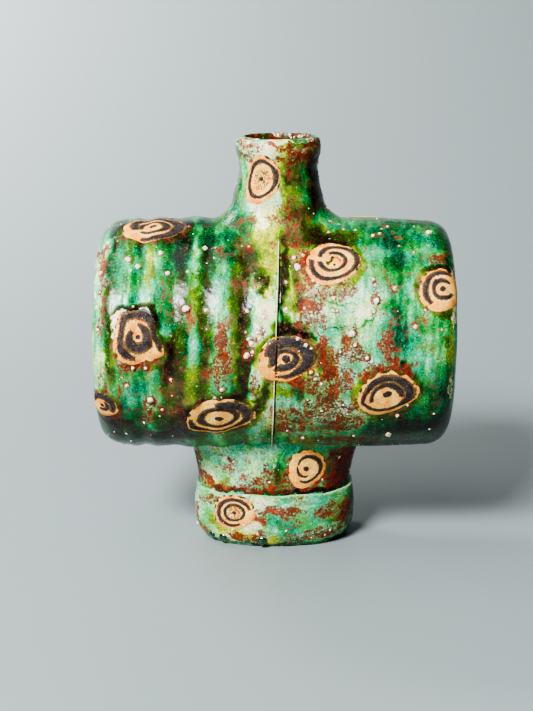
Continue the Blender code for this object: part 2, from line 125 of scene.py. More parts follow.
def hull(rings, layers=None, ends="poles"):
    """Corners, faces and layers of a closed skin over rings of points. Its ends are poles, flat caps, or none
    where the rings close on themselves. A pole is the middle of its ring."""
    count, steps = rings.shape[:2]
    index = np.arange(count * steps).reshape(count, steps)
    rows = index if ends != "loop" else np.vstack([index, index[:1]])
    after = np.roll(rows, -1, axis=1)
    quads = np.stack([rows[:-1], after[:-1], after[1:], rows[1:]], axis=-1).reshape(-1, 4)
    corners = rings.reshape(-1, 3)
    faces = quads.tolist()
    layers = {layer: np.ravel(values) for layer, values in (layers or {}).items()}
    if ends == "poles":
        corners = np.vstack([corners, rings[0].mean(axis=0), rings[-1].mean(axis=0)])
        first, last = count * steps, count * steps + 1
        faces += [(first, b, a) for a, b in zip(index[0].tolist(), np.roll(index[0], -1).tolist())]
        faces += [(last, a, b) for a, b in zip(index[-1].tolist(), np.roll(index[-1], -1).tolist())]
        for layer, values in layers.items():
            layers[layer] = np.concatenate([values, [values[:steps].mean()], [values[-steps:].mean()]])
    elif ends == "caps":
        faces += [index[0][::-1].tolist(), index[-1].tolist()]
    middle = corners.mean(axis=0)
    a, b, c = (corners[quads[:, i]] - middle for i in range(3))
    if np.einsum("ij,ij->i", a, np.cross(b, c)).sum() < 0:
        faces = [face[::-1] for face in faces]
    return corners, faces, layers


def loft(name, rings, layers=None, ends="poles"):
    return made_mesh(name, *hull(rings, layers, ends))


def joined(name, hulls):
    """One piece of several closed skins that have the same layers."""
    start, faces = 0, []
    for corners, its_faces, _ in hulls:
        faces += [[start + corner for corner in face] for face in its_faces]
        start += len(corners)
    layers = {layer: np.concatenate([part[2][layer] for part in hulls]) for layer in hulls[0][2]}
    return made_mesh(name, np.vstack([part[0] for part in hulls]), faces, layers)


class Glaze:
    """A node tree with short names for the nodes that the glazes, clays and grains use."""

    def __init__(self, tree):
        self.tree = tree

    def node(self, kind, fed=None, **settings):
        """A new node with these settings, its inputs fed by name or number with sockets or plain values."""
        made = self.tree.nodes.new(kind)
        for setting, value in settings.items():
            setattr(made, setting, value)
        for socket, value in (fed or {}).items():
            self.feed(made.inputs[socket], value)
        return made

    def feed(self, socket, value):
        if isinstance(value, bpy.types.NodeSocket):
            self.tree.links.new(value, socket)
        else:
            socket.default_value = value

    def math(self, operation, first, second=0.0, third=0.0, clamp=False):
        fed = {0: first, 1: second, 2: third}
        return self.node("ShaderNodeMath", fed, operation=operation, use_clamp=clamp).outputs[0]

    def place(self):
        return self.node("ShaderNodeTexCoord").outputs["Object"]

    def noise(self, where, size, detail=2.0, roughness=0.55, distortion=0.0):
        """Noise whose blotches are about this many metres across."""
        return self.node("ShaderNodeTexNoise", {
            "Vector": where, "Scale": 0.6 / size, "Detail": detail, "Roughness": roughness,
            "Distortion": distortion}).outputs["Fac"]

    def jittered(self, value, noise, amount, clamp=False):
        """The value moved by noise, up and down by half the amount."""
        return self.math("ADD", value, self.math("MULTIPLY_ADD", noise, amount, -amount / 2), clamp=clamp)

    def band(self, value, low, high, to_low=0.0, to_high=1.0):
        """The value's way from low to high, softly begun and ended, as a value from to_low to to_high."""
        return self.node("ShaderNodeMapRange", {
            "Value": value, "From Min": low, "From Max": high, "To Min": to_low, "To Max": to_high},
            interpolation_type="SMOOTHSTEP").outputs["Result"]

    def ramp(self, value, stops):
        made = self.node("ShaderNodeValToRGB", {"Fac": value})
        steps = made.color_ramp.elements
        while len(steps) < len(stops):
            steps.new(0.5)
        for step, (place, color) in zip(steps, stops):
            step.position = place
            step.color = painted(color)
        return made.outputs["Color"]

    def mix(self, share, first, second):
        return self.node("ShaderNodeMix", {"Factor": share, 6: first, 7: second}, data_type="RGBA").outputs[2]

    def warped(self, where, size, amount):
        """The place moved about by noise, so that a pattern on it isn't regular."""
        noise = self.noise(where, size).node.outputs["Color"]
        return self.node("ShaderNodeVectorMath", {0: noise, 1: (2 * amount,) * 3, 2: where},
                         operation="MULTIPLY_ADD").outputs[0]

    def spots(self, where, size, feature="F1"):
        return self.node("ShaderNodeTexVoronoi", {"Vector": where, "Scale": 1 / size},
                         feature=feature).outputs["Distance"]

    def layer(self, name):
        return self.node("ShaderNodeAttribute", attribute_name=name).outputs["Fac"]

    def bump(self, shader, height, strength, distance):
        made = self.node("ShaderNodeBump", {"Height": height, "Strength": strength, "Distance": distance})
        self.feed(shader["Normal"], made.outputs["Normal"])


def node_group(name, kind, inputs, outputs):
    """A node group with these sockets, each given as its type and its names: its tree, inputs and outputs."""
    group = bpy.data.node_groups.new(name, kind)
    for way, sockets in (("INPUT", inputs), ("OUTPUT", outputs)):
        for socket_type, names in sockets:
            for socket in names.split(", "):
                group.interface.new_socket(socket, in_out=way, socket_type=f"NodeSocket{socket_type}")
    net = Glaze(group)
    return net, net.node("NodeGroupInput").outputs, net.node("NodeGroupOutput").inputs


def new_material(name):
    """A material, its tree and its shader's inputs."""
    material = bpy.data.materials.new(name)
    material.use_nodes = True
    return material, Glaze(material.node_tree), material.node_tree.nodes["Principled BSDF"].inputs


def painted(color):
    """A colour given as it looks on a screen, as the light values that the shader takes."""
    return (*(c / 12.92 if c <= 0.04045 else ((c + 0.055) / 1.055) ** 2.4 for c in color), 1.0)
# The glaze's colours from thin to thick, each stop (place, colour as it looks on a screen)
GREENS = (
    (0.00, (0.93, 0.85, 0.68)), (0.13, (0.80, 0.86, 0.64)), (0.28, (0.55, 0.78, 0.50)),
    (0.44, (0.23, 0.63, 0.31)), (0.60, (0.06, 0.47, 0.19)), (0.76, (0.02, 0.29, 0.10)),
    (0.90, (0.02, 0.14, 0.04)), (1.00, (0.03, 0.05, 0.01)),
)
TEALS = (
    (0.00, (0.92, 0.87, 0.76)), (0.13, (0.76, 0.87, 0.74)), (0.28, (0.48, 0.79, 0.65)),
    (0.44, (0.16, 0.66, 0.49)), (0.60, (0.03, 0.50, 0.34)), (0.76, (0.01, 0.25, 0.16)),
    (1.00, (0.02, 0.05, 0.03)),
)
OLIVES = (
    (0.00, (0.88, 0.84, 0.48)), (0.18, (0.74, 0.74, 0.18)), (0.36, (0.44, 0.55, 0.08)),
    (0.56, (0.22, 0.38, 0.05)), (0.74, (0.17, 0.22, 0.03)), (0.90, (0.16, 0.09, 0.02)),
    (1.00, (0.08, 0.04, 0.01)),
)
# The colours of iron red and of bare clay, by the noise on them
IRONS = ((0.30, (0.15, 0.03, 0.03)), (0.5, (0.44, 0.08, 0.05)), (0.72, (0.64, 0.22, 0.10)))
CREAMS = ((0.3, (0.58, 0.38, 0.20)), (0.45, (0.84, 0.78, 0.58)), (0.75, (0.94, 0.92, 0.80)))
IRON_RIM, PALE_FLECK, CRACK_LINE, DARK_SPECK = (painted(color) for color in (
    (0.80, 0.80, 0.62), (0.86, 0.88, 0.72), (0.25, 0.27, 0.16), (0.16, 0.08, 0.04)))
CRACK_SPACING = 3.2 * MM
SPECK_SPACING = 3.1 * MM


def copper_glaze_group():
    """Paint layers in; the glaze's colour, roughness, height and shine out."""
    glaze, paint, result = node_group(
        "copper_glaze", "ShaderNodeTree", (("Float", "Depth, Olive, Iron, Bare"), ("Vector", "Flow")),
        (("Color", "Color"), ("Float", "Roughness, Height, Shine")))
    where = glaze.place()
    flow = glaze.node("ShaderNodeVectorMath", {0: where, 1: paint["Flow"]}, operation="MULTIPLY").outputs[0]
    wide = glaze.noise(flow, 7 * MM, 3.0)
    fine = glaze.noise(flow, 1.9 * MM, 4.0, 0.65, 0.4)
    grain = glaze.noise(where, 0.7 * MM, 3.0, 0.7)

    def roughened(layer, wide_share, fine_share, grain_share):
        for noise, share in ((wide, wide_share), (fine, fine_share), (grain, grain_share)):
            layer = glaze.jittered(layer, noise, share)
        return layer

    depth = roughened(paint["Depth"], 0.24, 0.62, 0.80)
    teal = glaze.band(glaze.noise(where, 9 * MM, 4.0), 0.44, 0.58)
    teal = glaze.math("MULTIPLY", teal, glaze.band(paint["Olive"], 0.50, 0.22, 0.1, 0.85))
    greens = glaze.mix(teal, glaze.ramp(depth, GREENS), glaze.ramp(depth, TEALS))
    olive = glaze.band(roughened(paint["Olive"], 0.5, 0.7, 0.2), 0.35, 0.68)
    color = glaze.mix(olive, greens, glaze.ramp(depth, OLIVES))
    patch = glaze.noise(where, 3.0 * MM, 5.0, 0.7, 0.5)
    worn = roughened(glaze.jittered(glaze.math("MINIMUM", paint["Iron"], 0.78), patch, 2.0), 0.0, 1.0, 2.0)
    edge = glaze.math("MULTIPLY", glaze.band(worn, 0.30, 0.60), glaze.band(depth, 1.0, 0.5, 0.04, 0.2))
    color = glaze.mix(edge, color, IRON_RIM)
    iron = glaze.band(worn, 0.36, 0.86)
    color = glaze.mix(glaze.math("MULTIPLY", iron, 0.92), color, glaze.ramp(fine, IRONS))
    fleck = glaze.band(glaze.noise(where, 0.9 * MM, 4.0, 0.8), 0.60, 0.68)
    fleck = glaze.math("MULTIPLY", fleck, glaze.band(depth, 0.95, 0.5, 0.1, 0.5))
    color = glaze.mix(fleck, color, PALE_FLECK)
    thin = glaze.band(roughened(paint["Bare"], 0.2, 0.8, 0.5), 0.42, 0.60)
    color = glaze.mix(thin, color, glaze.ramp(roughened(fine, 0.0, 0.0, 0.9), CREAMS))
    crack = glaze.spots(glaze.warped(where, 4 * MM, 1.2 * MM), CRACK_SPACING, "DISTANCE_TO_EDGE")
    crack = glaze.math("MULTIPLY", glaze.band(crack, 0.035, 0.0), glaze.band(depth, 0.6, 0.3))
    color = glaze.mix(glaze.math("MULTIPLY", crack, 0.35), color, CRACK_LINE)
    speck = glaze.band(glaze.spots(where, SPECK_SPACING), 0.16, 0.09)
    color = glaze.mix(glaze.math("MULTIPLY", speck, 0.8), color, DARK_SPECK)
    matt = glaze.math("MAXIMUM", iron, thin)
    rough = glaze.math("ADD", glaze.band(matt, 0.0, 1.0, 0.09, 0.5), glaze.math("MULTIPLY", grain, 0.14))
    height = glaze.math("ADD", glaze.math("MULTIPLY", depth, 0.5), glaze.math("MULTIPLY", iron, -0.25))
    height = glaze.math("ADD", height, glaze.math("MULTIPLY", crack, -0.12))
    shine = glaze.math("SUBTRACT", 1.0, matt)
    for socket, value in (("Color", color), ("Roughness", rough), ("Height", height), ("Shine", shine)):
        glaze.feed(result[socket], value)
    return glaze.tree


def glaze_material(name, group, flow=(1.0, 0.32, 0.32)):
    """A glaze fed by its piece's own paint layers. Flow stretches its streaks the way the glaze ran."""
    material, glaze, shader = new_material(name)
    layers = {layer.capitalize(): glaze.layer(layer) for layer in ("depth", "olive", "iron", "bare")}
    mixed = glaze.node("ShaderNodeGroup", {"Flow": flow, **layers}, node_tree=group)
    glaze.feed(shader["Base Color"], mixed.outputs["Color"])
    glaze.feed(shader["Roughness"], mixed.outputs["Roughness"])
    glaze.feed(shader["Coat Weight"], glaze.math("MULTIPLY", mixed.outputs["Shine"], 0.12))
    shader["Coat Roughness"].default_value = 0.16
    shader["Specular IOR Level"].default_value = 0.24
    glaze.bump(shader, mixed.outputs["Height"], 0.75, 0.5 * MM)
    return material
COPPER_GLAZE = copper_glaze_group()

# The photograph's size, the column under its camera's middle, and its focal length, in pixels. With the
# camera's place they give the place on the drum of each mark, and they set up the camera below
PHOTO_WIDTH = 533
PHOTO_HEIGHT = 711
PHOTO_MIDDLE = 274.4
PHOTO_LENS = 1437
CAMERA_BACK = 827 * MM
CAMERA_HEIGHT = 321 * MM
CAMERA_DOWN = math.radians(14.3)
# The plain drum that a mark is sought on: its half length, and the two powers of its rounded outline
PLAIN_HALF_LENGTH = 101 * MM
PLAIN_BOXINESS = 7
PLAIN_SHOULDER = 0.1


def drum_places(rows):
    """Rows that begin with a pixel, now beginning with the place that it shows: mm along the drum, and
    degrees from the drum's crown to the front."""
    ahead = np.array((0.0, math.cos(CAMERA_DOWN), -math.sin(CAMERA_DOWN)))
    overhead = np.array((0.0, math.sin(CAMERA_DOWN), math.cos(CAMERA_DOWN)))
    reach = np.arange(600, 900, 0.25)[:, None] * MM
    placed = []
    for column, row, *rest in rows:
        way = ahead - overhead * (row - PHOTO_HEIGHT / 2) / PHOTO_LENS
        way[0] = (column - PHOTO_MIDDLE) / PHOTO_LENS
        x, y, z = ((0, -CAMERA_BACK, CAMERA_HEIGHT) + reach * way / np.linalg.norm(way)).T
        share = np.minimum(np.abs(x) / PLAIN_HALF_LENGTH, 1)
        radius = DRUM_RADIUS * (1 - share**PLAIN_BOXINESS) ** PLAIN_SHOULDER
        first = np.argmax(np.hypot(y, z - DRUM_AXIS_Z) <= radius)
        angle = math.degrees(math.atan2(-y[first], z[first] - DRUM_AXIS_Z))
        placed.append((round(x[first] / MM, 1), round(angle, 1), *rest))
    return placed


# Marks in the drum's glaze, each: the photograph's column and row, half length and half
# height in mm, tilt in degrees, strength. First, glaze that ran thicker or thinner, from a thin film to
# a brown pool
DEPTH_MARKS = drum_places((
    (260, 277, 3, 1.6, 20, 0.55), (263, 282, 1.5, 4, 0, 0.6), (261, 289, 1.6, 4, 20, 0.6),
    (256, 295, 3, 1.8, 30, 0.5), (202, 272, 4, 14, 0, 0.22), (268, 312, 4, 12, 0, -0.1),
    # Partly painted shadow: the dark marks at columns 279 and 282, along the seam's right side, are glaze
    # pooled against the left cup's lip, darkened further to stand for the lip's shadow.
    (282, 262, 2, 24, 0, 0.62), (279, 300, 1.6, 22, 0, 0.55), (290, 329, 8, 4, -18, 0.62),
    (302, 334, 6, 2.2, -12, 0.5), (298, 300, 3, 5.5, 0, 0.55), (325, 362, 3.6, 10, 18, 0.5),
    (241, 300, 2.6, 16, 0, 0.2), (243, 335, 2.2, 20, 0, 0.36), (247, 372, 2.4, 14, -10, 0.45),
    (232, 399, 12, 2.6, 25, 0.62), (262, 402, 3, 14, -14, 0.6), (200, 413, 10, 3, 35, 0.6),
    (190, 432, 13, 5, 10, 0.5), (169, 366, 2.8, 13, -10, 0.62), (137, 309, 8, 2.2, 5, 0.55),
    (152, 314, 3, 4, 0, 0.45), (147, 359, 7, 3, 15, 0.4), (121, 419, 9, 2.3, -14, 0.6),
    (108, 418, 5, 5, -10, 0.4), (309, 240, 13, 8, 0, 0.4), (306, 260, 13, 3.2, 18, 0.5),
    (294, 276, 3, 8, 0, 0.4), (330, 240, 14, 7, 0, 0.28), (448, 268, 4, 5, 0, 0.45),
    (404, 364, 2.2, 2, 0, 0.8), (410, 368, 2, 2, 0, 0.4), (214, 360, 6, 0.9, 24, 0.5),
    (425, 425, 20, 9, 8, 0.35), (440, 400, 9, 16, 0, 0.22), (443, 245, 6, 14, 0, 0.28),
    (205, 245, 4, 14, 0, 0.3), (222, 250, 7, 14, 0, 0.25), (180, 252, 5, 12, 0, 0.3),
    (190, 255, 3, 10, 0, -0.1), (300, 390, 3, 9, 10, 0.3), (336, 425, 9, 5, 10, 0.25),
    (312, 440, 16, 6, 0, 0.25), (170, 437, 22, 5, 0, 0.35), (112, 230, 8, 8, 0, 0.2),
    (247, 262, 5, 12, 0, 0.25), (256, 275, 3, 5, 20, 0.3), (345, 250, 6, 6, 0, 0.1),
    (398, 300, 5, 34, 0, 0.12), (334, 302.5, 12, 0.55, -9, 0.4), (366, 320, 8, 0.55, 48, 0.4),
    (319, 331.5, 5, 0.55, 42, 0.4), (338, 325.5, 8, 0.55, 0, 0.4), (392, 330, 5, 20, 0, 0.12),
    # Painted highlight: the thinning marks at columns 262 to 264, rows 300 to 345, left of the seam, show the
    # window's reflection as thin pale glaze; those at columns 310 to 355, rows 300 to 320, are partly thinner
    # glaze, partly the same painted highlight.
    (425, 320, 12, 40, 0, -0.1), (262, 300, 6, 18, 0, -0.12), (264, 318, 5, 14, 0, -0.2),
    (262, 345, 4, 8, 0, -0.15), (310, 305, 14, 12, 0, -0.12), (345, 320, 12, 12, 0, -0.06),
    (355, 300, 12, 8, 0, -0.08), (350, 255, 8, 10, 0, 0), (220, 330, 6, 14, 0, -0.1),
    (190, 320, 4, 30, 0, -0.06), (420, 350, 10, 20, 0, 0.02), (130, 400, 8, 10, 0, 0.02),
    (385, 240, 16, 8, 0, 0.08), (425, 262, 8, 8, 0, 0.15), (272, 440, 5, 12, 0, 0.2),
    (297, 415, 10, 10, 0, 0.1), (360, 400, 8, 8, 0, 0.05), (155, 290, 6, 10, 0, 0.05),
))

# Glaze that fired olive and yellow
OLIVE_MARKS = drum_places((
    (261, 284, 5, 9, 0, 0.4), (202, 275, 5, 18, 0, 0.22), (185, 330, 24, 60, 0, 0.14),
    (200, 290, 10, 30, 0, 0.1), (190, 400, 16, 20, 0, 0.1), (190, 390, 10, 20, 0, 0.35),
    (170, 420, 14, 12, 0, 0.3), (260, 240, 9, 12, 0, 0.95), (266, 262, 6, 12, 0, 0.8),
    (244, 262, 5, 14, 0, 0.85), (234, 292, 4, 22, 0, 0.7), (242, 350, 4.5, 34, 0, 1),
    (226, 400, 14, 4, 25, 1), (262, 402, 4, 16, -14, 0.9), (178, 335, 2.4, 34, 0, 0.6),
    (185, 395, 8, 14, 20, 0.6), (110, 330, 1.6, 34, 0, 0.75), (149, 262, 2, 22, 0, 0.55),
    (168, 368, 4.4, 16, -10, 1), (150, 359, 9, 6, 10, 0.8), (137, 309, 9, 3.4, 5, 0.8),
    # Partly painted shadow: the mark at column 285, row 262 browns the seam's right side, as glaze pooled
    # there and as the shadow of the left cup's lip.
    (285, 262, 4.5, 28, 0, 1), (310, 243, 20, 12, 0, 0.95), (300, 272, 6, 12, 0, 0.8),
    (297, 302, 5, 8, 0, 0.9), (290, 330, 10, 5.5, -18, 1), (325, 362, 5, 12, 18, 0.9),
    (349, 277, 6, 3.4, 20, 0.95), (338, 287, 6, 2, 0, 0.5), (386, 419, 9, 3, 5, 1),
    (444, 313, 6, 4, 0, 0.9), (274, 391, 10, 3.6, -5, 1), (120, 424, 13, 4, -8, 0.8),
    (450, 340, 2, 34, 0, 0.55), (252, 262, 4, 10, 0, 0.6), (128, 262, 3, 20, 0, 0.3),
    (205, 335, 3, 34, 0, 0.4), (330, 235, 20, 7, 0, 0.6), (275, 425, 6, 14, 0, 0.45),
    (420, 300, 4, 20, 0, 0.2),
))

# Iron red breaking through
IRON_MARKS = drum_places((
    (239, 243, 5, 10, 0, 0.35), (253, 266, 8, 4, 20, 0.35), (246, 284, 9, 6, 0, 0.3),
    (240, 229, 5, 4, 0, 0.4), (318, 415, 24, 20, 0, 0.42), (330, 405, 10, 6, 25, 0.3),
    (345, 415, 8, 5, 30, 0.4), (300, 350, 14, 30, 0, 0.1), (340, 300, 20, 14, 0, 0.12),
    (170, 400, 14, 14, 0, 0.2), (150, 420, 20, 10, 0, 0.18), (225, 350, 10, 26, 0, 0.14),
    (330, 440, 30, 8, 0, 0.2), (389, 350, 5, 12, 8, 1), (386, 371, 9, 4.5, 0, 0.95),
    (375, 372, 9, 3.5, 20, 0.85), (409, 371, 3.4, 5, -10, 1), (355, 354, 8, 4.5, -15, 0.8),
    (350, 338, 3.4, 6.5, 0, 0.85), (346, 352, 4, 3, 0, 0.7), (312, 322, 10, 5, 0, 0.66),
    (322, 345, 5, 6, 0, 0.7), (331, 365, 6, 10, 20, 0.75), (318, 388, 8, 5, 0, 0.72),
    (340, 388, 10, 4, 30, 0.72), (300, 285, 4, 12, 0, 0.6), (322, 287, 10, 4.5, 0, 0.66),
    (309, 306, 7, 6, 0, 0.55), (345, 290, 9, 6, 0, 0.52), (375, 300, 3, 6, 0, 0.5),
    (348, 425, 10, 6, 15, 0.85), (330, 412, 12, 7, -10, 0.62), (318, 445, 16, 5, 0, 0.85),
    (360, 440, 14, 4, 0, 0.6), (290, 425, 10, 10, 0, 0.5), (284, 445, 8, 5, 0, 0.5),
    (222, 340, 4, 10, 0, 0.62), (214, 374, 7, 8, 0, 0.66), (226, 362, 4, 6, 0, 0.55),
    (148, 412, 3, 11, -10, 0.62), (256, 384, 3, 8, 0, 0.8), (102, 300, 2.4, 30, 0, 0.5),
    (101, 260, 3, 12, 0, 0.6), (131, 361, 9, 6, 20, 0.66), (150, 372, 3, 4, 0, 0.6),
    (437, 262, 5, 3.5, 0, 0.8), (398, 237, 2, 1.6, 0, 0.9), (408, 330, 2, 4, 0, 0.4),
    (301, 383, 5, 4, 0, 0.75), (270, 246, 3, 4, 0, 0.5), (245, 247, 4, 4, 0, 0.5),
    (300, 256, 5, 5, 0, 0.55), (216, 250, 4, 5, 0, 0.45), (290, 240, 6, 6, 0, 0.55),
    (342, 372, 8, 6, 0, 0.5), (300, 360, 3, 10, 0, 0.5), (105, 380, 3, 10, 0, 0.45),
    (190, 320, 3, 6, 0, 0.35), (186, 310, 2.4, 2.4, 0, 0.5),
))

# Pale clay with almost no glaze. Beside the seam, the marks at (258, 318) and (268, 310) are a painted
# highlight; those at rows 292 to 305, columns 310 to 350, are partly thin glaze, partly a painted highlight.
BARE_MARKS = drum_places((
    (258, 318, 4, 9, 0, 0.42), (122, 318, 4, 7, 30, 0.62), (116, 330, 3, 6, 10, 0.5),
    (120, 352, 3, 10, 0, 0.52), (98, 290, 2.4, 30, 0, 0.5), (212, 300, 4, 8, 0, 0.3),
    (222, 322, 4, 8, 0, 0.36), (190, 262, 4, 8, 0, 0.36), (127, 235, 9, 2.6, 12, 0.6),
    (452, 300, 2.2, 30, 0, 0.55), (450, 380, 2.2, 18, 0, 0.5), (310, 292, 8, 5, 0, 0.4),
    (345, 292, 10, 6, 0, 0.36), (260, 372, 3.6, 7, 0, 0.5), (290, 312, 5, 5, 0, 0.3),
    (158, 352, 3.6, 5, 0, 0.35), (325, 330, 9, 7, 0, 0.2), (268, 310, 3, 12, 0, 0.3),
    (350, 305, 6, 4, 0, 0.3),
))

# The white grains on the front, each: the photograph's column and row, size share
GRAIN_PLACES = drum_places((
    (251, 344, 1.2), (247, 355, 1.1), (246, 311, 0.9), (263, 318, 0.9), (159, 252, 0.8), (202, 248, 0.8),
    (166, 273, 0.9), (127, 385, 1), (145, 423, 0.8), (305, 438, 1), (398, 416, 0.8), (389, 434, 1),
    (378, 233, 0.9), (428, 234, 1), (294, 266, 1.2), (326, 232, 0.8), (351, 334, 1.3), (297, 339, 1),
    (257, 333, 1.5), (248, 339, 1.1), (246, 357, 1), (223, 389, 1.1), (151, 399, 1.1), (185, 309, 1.3),
    (127, 261, 1.1), (137, 265, 1), (375, 300, 1.1), (251, 229, 0.9), (104, 252, 0.9), (110, 250, 0.7),
    (213, 248, 0.6), (176, 230, 0.7), (187, 228, 0.6), (205, 310, 0.9), (206, 329, 0.6), (212, 258, 0.5),
    (239, 246, 0.6), (246, 246, 0.6), (263, 331, 0.7), (255, 326, 0.9), (262, 312, 0.6), (269, 343, 0.7),
    (245, 332, 0.7), (216, 397, 0.7), (171, 380, 0.7), (163, 410, 0.8), (127, 432, 0.7), (122, 377, 0.5),
    (186, 272, 0.6), (133, 307, 0.9), (117, 336, 1), (120, 343, 0.8), (126, 352, 0.8), (115, 325, 0.8),
    (133, 368, 0.9), (146, 368, 0.9), (101, 276, 0.8), (99, 295, 0.6), (98, 330, 0.6), (284, 283, 0.8),
    (300, 256, 0.8), (291, 258, 1), (311, 281, 0.8), (316, 286, 0.9), (331, 288, 0.7), (345, 280, 0.6),
    (284, 310, 0.9), (303, 308, 0.6), (336, 311, 0.6), (374, 285, 0.7), (372, 279, 0.8), (394, 288, 1.1),
    (375, 303, 0.8), (415, 327, 1), (361, 337, 0.7), (355, 345, 0.9), (367, 358, 0.9), (372, 362, 0.8),
    (305, 345, 1.2), (311, 372, 0.9), (316, 379, 0.8), (322, 384, 0.8), (318, 375, 0.6), (311, 348, 0.8),
    (299, 350, 0.9), (340, 352, 0.7), (353, 230, 0.7), (371, 235, 1), (380, 228, 0.6), (386, 226, 0.7),
    (341, 229, 0.6), (327, 224, 0.7), (309, 400, 0.6), (323, 411, 0.7), (398, 415, 0.8), (408, 405, 0.6),
    (434, 411, 0.7), (430, 427, 0.7), (305, 437, 0.9), (290, 430, 0.6), (355, 436, 0.6), (344, 405, 0.5),
    (441, 330, 0.5), (425, 310, 0.6), (413, 252, 0.6), (398, 245, 0.5), (347, 262, 0.7), (287, 345, 0.7),
    (252, 352, 0.8), (259, 339, 0.9), (120, 314, 0.9), (112, 318, 0.7),
))
# The roundels on the drum, each: share along the half's outline, degrees from the crown, half width and
# half height as shares of 15 mm, thickness in mm, tilt in degrees
DRUM_ROUNDELS = {
    "top_left": (-0.656, 15.5, 1.20, 1.02, 1.56, 0), "left": (-0.700, 79.0, 0.93, 1.06, 2.76, 10),
    "left_edge": (-0.905, 116.0, 0.60, 0.62, 1.44, 20), "lower_left": (-0.283, 121.0, 1.30, 0.92, 1.44, 12),
    "middle": (0.060, 89.0, 1.06, 0.86, 1.32, 0), "upper_right": (0.292, 42.0, 1.03, 0.97, 1.44, 8),
    "right_edge": (0.868, 55.8, 0.92, 0.88, 1.2, 5), "lower_right": (0.590, 107.0, 1.10, 0.96, 1.44, 10),
    "top_right": (0.505, -20.0, 0.92, 0.88, 1.2, 0), "back_left": (-0.560, -68.0, 1.02, 0.93, 1.32, 15),
    "back_middle": (-0.110, -97.0, 1.05, 0.90, 1.32, 0), "back_right": (0.560, -84.0, 1.06, 0.95, 1.44, 170),
    "back_lower_left": (-0.640, -122.0, 0.90, 0.85, 1.2, 25),
    "back_lower_right": (0.260, -128.0, 1.12, 0.88, 1.32, 165),
}
ROUNDEL_SIZE = 15 * MM
# How far the left roundel sagged and spread while the clay was wet: degrees from its right, share of its
# radius
SAGGED_RIMS = {"left": (
    (-180, 0.98), (-160, 1.12), (-140, 1.06), (-122, 0.95), (-90, 0.94), (-62, 1.04), (-42, 1.22),
    (-28, 1.05), (-15, 0.76), (0, 0.66), (22, 0.76), (45, 0.93), (70, 0.97), (85, 0.90), (100, 0.92),
    (122, 1.09), (142, 1.03), (160, 0.94), (180, 0.98),
)}

# Finger ribs of the left cup, crest and hollow in turn, as shares of its barrel
RIB_TURNS = (0.095, 0.215, 0.353, 0.454, 0.568, 0.669, 0.808, 0.883, 0.959)
RIB_HEIGHT = 0.54 * MM
BARREL_STEPS = 123
SHOULDER_STEPS = 20
WALL_STEPS = 28
ROUND_STEPS = 440
FRONT_STEPS = 290


class Cup:
    """One thrown half of the drum: its side, its taper and shoulder in mm, and its outline."""

    def __init__(self, side, taper, shoulder_length, shoulder_drop):
        self.side = side
        self.taper = taper * MM
        self.shoulder_length = shoulder_length * MM
        self.shoulder_drop = shoulder_drop * MM
        self.barrel = DRUM_HALF_LENGTH - END_CROWN - self.shoulder_length
        self.outline = self.outer_outline()
        self.lengths = way_along(self.outline)

    def outer_outline(self):
        """(distance from the seam, radius) from the seam to near the end wall's middle."""
        start = RIGHT_CUP_START if self.side > 0 else 0.0
        distance = np.linspace(start, self.barrel, BARREL_STEPS + 1)[:-1]
        radius = DRUM_RADIUS - self.taper * (distance / self.barrel) ** 2
        if self.side < 0:
            places = np.array((-0.02, *RIB_TURNS, 1.02))
            heights = np.array([0.3, *((1.0, -1.0) * 5)[:9], 0.0])
            share = distance / self.barrel
            spot = np.clip(np.searchsorted(places, share) - 1, 0, len(places) - 2)
            way = (share - places[spot]) / (places[spot + 1] - places[spot])
            blend = (1 - np.cos(math.pi * np.clip(way, 0, 1))) / 2
            radius = radius + RIB_HEIGHT * (heights[spot] * (1 - blend) + heights[spot + 1] * blend)
        bend = np.linspace(0, math.pi / 2, SHOULDER_STEPS)
        shoulder = spots_at(self.barrel + self.shoulder_length * np.sin(bend),
                            DRUM_RADIUS - self.taper - self.shoulder_drop * (1 - np.cos(bend)))
        rim = DRUM_RADIUS - self.taper - self.shoulder_drop
        share = np.linspace(0.965, 0.03, WALL_STEPS)
        wall_distance = DRUM_HALF_LENGTH - END_CROWN * (0.06 + share**2) - 0.3 * MM * (1 - share)
        return np.vstack([spots_at(distance, radius), shoulder, spots_at(wall_distance, rim * share)])


def drum_point(x, radius, turn):
    lean = SEAM_LEAN * np.cos(turn) * (1 - np.abs(x) / DRUM_HALF_LENGTH)
    return spots_at(x + lean, -radius * np.sin(turn), DRUM_AXIS_Z + radius * np.cos(turn))


# On the drum's side a degree round is this many mm
MM_PER_DEGREE = 1.187
# Marks fade out between these shares of their size
MARK_FADE = (1.45, 0.45)


def apart(turn, angle):
    """Degrees from the angle to the turn, the short way round."""
    return (turn - angle + 180) % 360 - 180


def within(right, up, half_wide, half_high, tilt):
    """Where places lie in a tilted oval, as shares of its half width and its half height."""
    lean = math.radians(tilt)
    return ((right * math.cos(lean) + up * math.sin(lean)) / half_wide,
            (up * math.cos(lean) - right * math.sin(lean)) / half_high)


def marks(rows, along, turn, warp):
    """The sum of a layer's marks at every point. Along is in mm, turn in degrees."""
    total = np.zeros(along.shape)
    for x, angle, *size, tilt, strength in rows:
        up = -apart(turn, angle) * MM_PER_DEGREE + warp[1]
        total += strength * ease(np.hypot(*within(along - x + warp[0], up, *size, tilt)), *MARK_FADE)
    return total


def drum_turns():
    """Turns round the drum from the crown, closer together on the front."""
    front = np.linspace(-25, 165, FRONT_STEPS, endpoint=False)
    back = np.linspace(165, 335, ROUND_STEPS - FRONT_STEPS, endpoint=False)
    return np.radians(np.concatenate([front, back]))
LEFT_CUP = Cup(side=-1, taper=1.5, shoulder_length=17, shoulder_drop=12)
RIGHT_CUP = Cup(side=1, taper=2.0, shoulder_length=13, shoulder_drop=11)

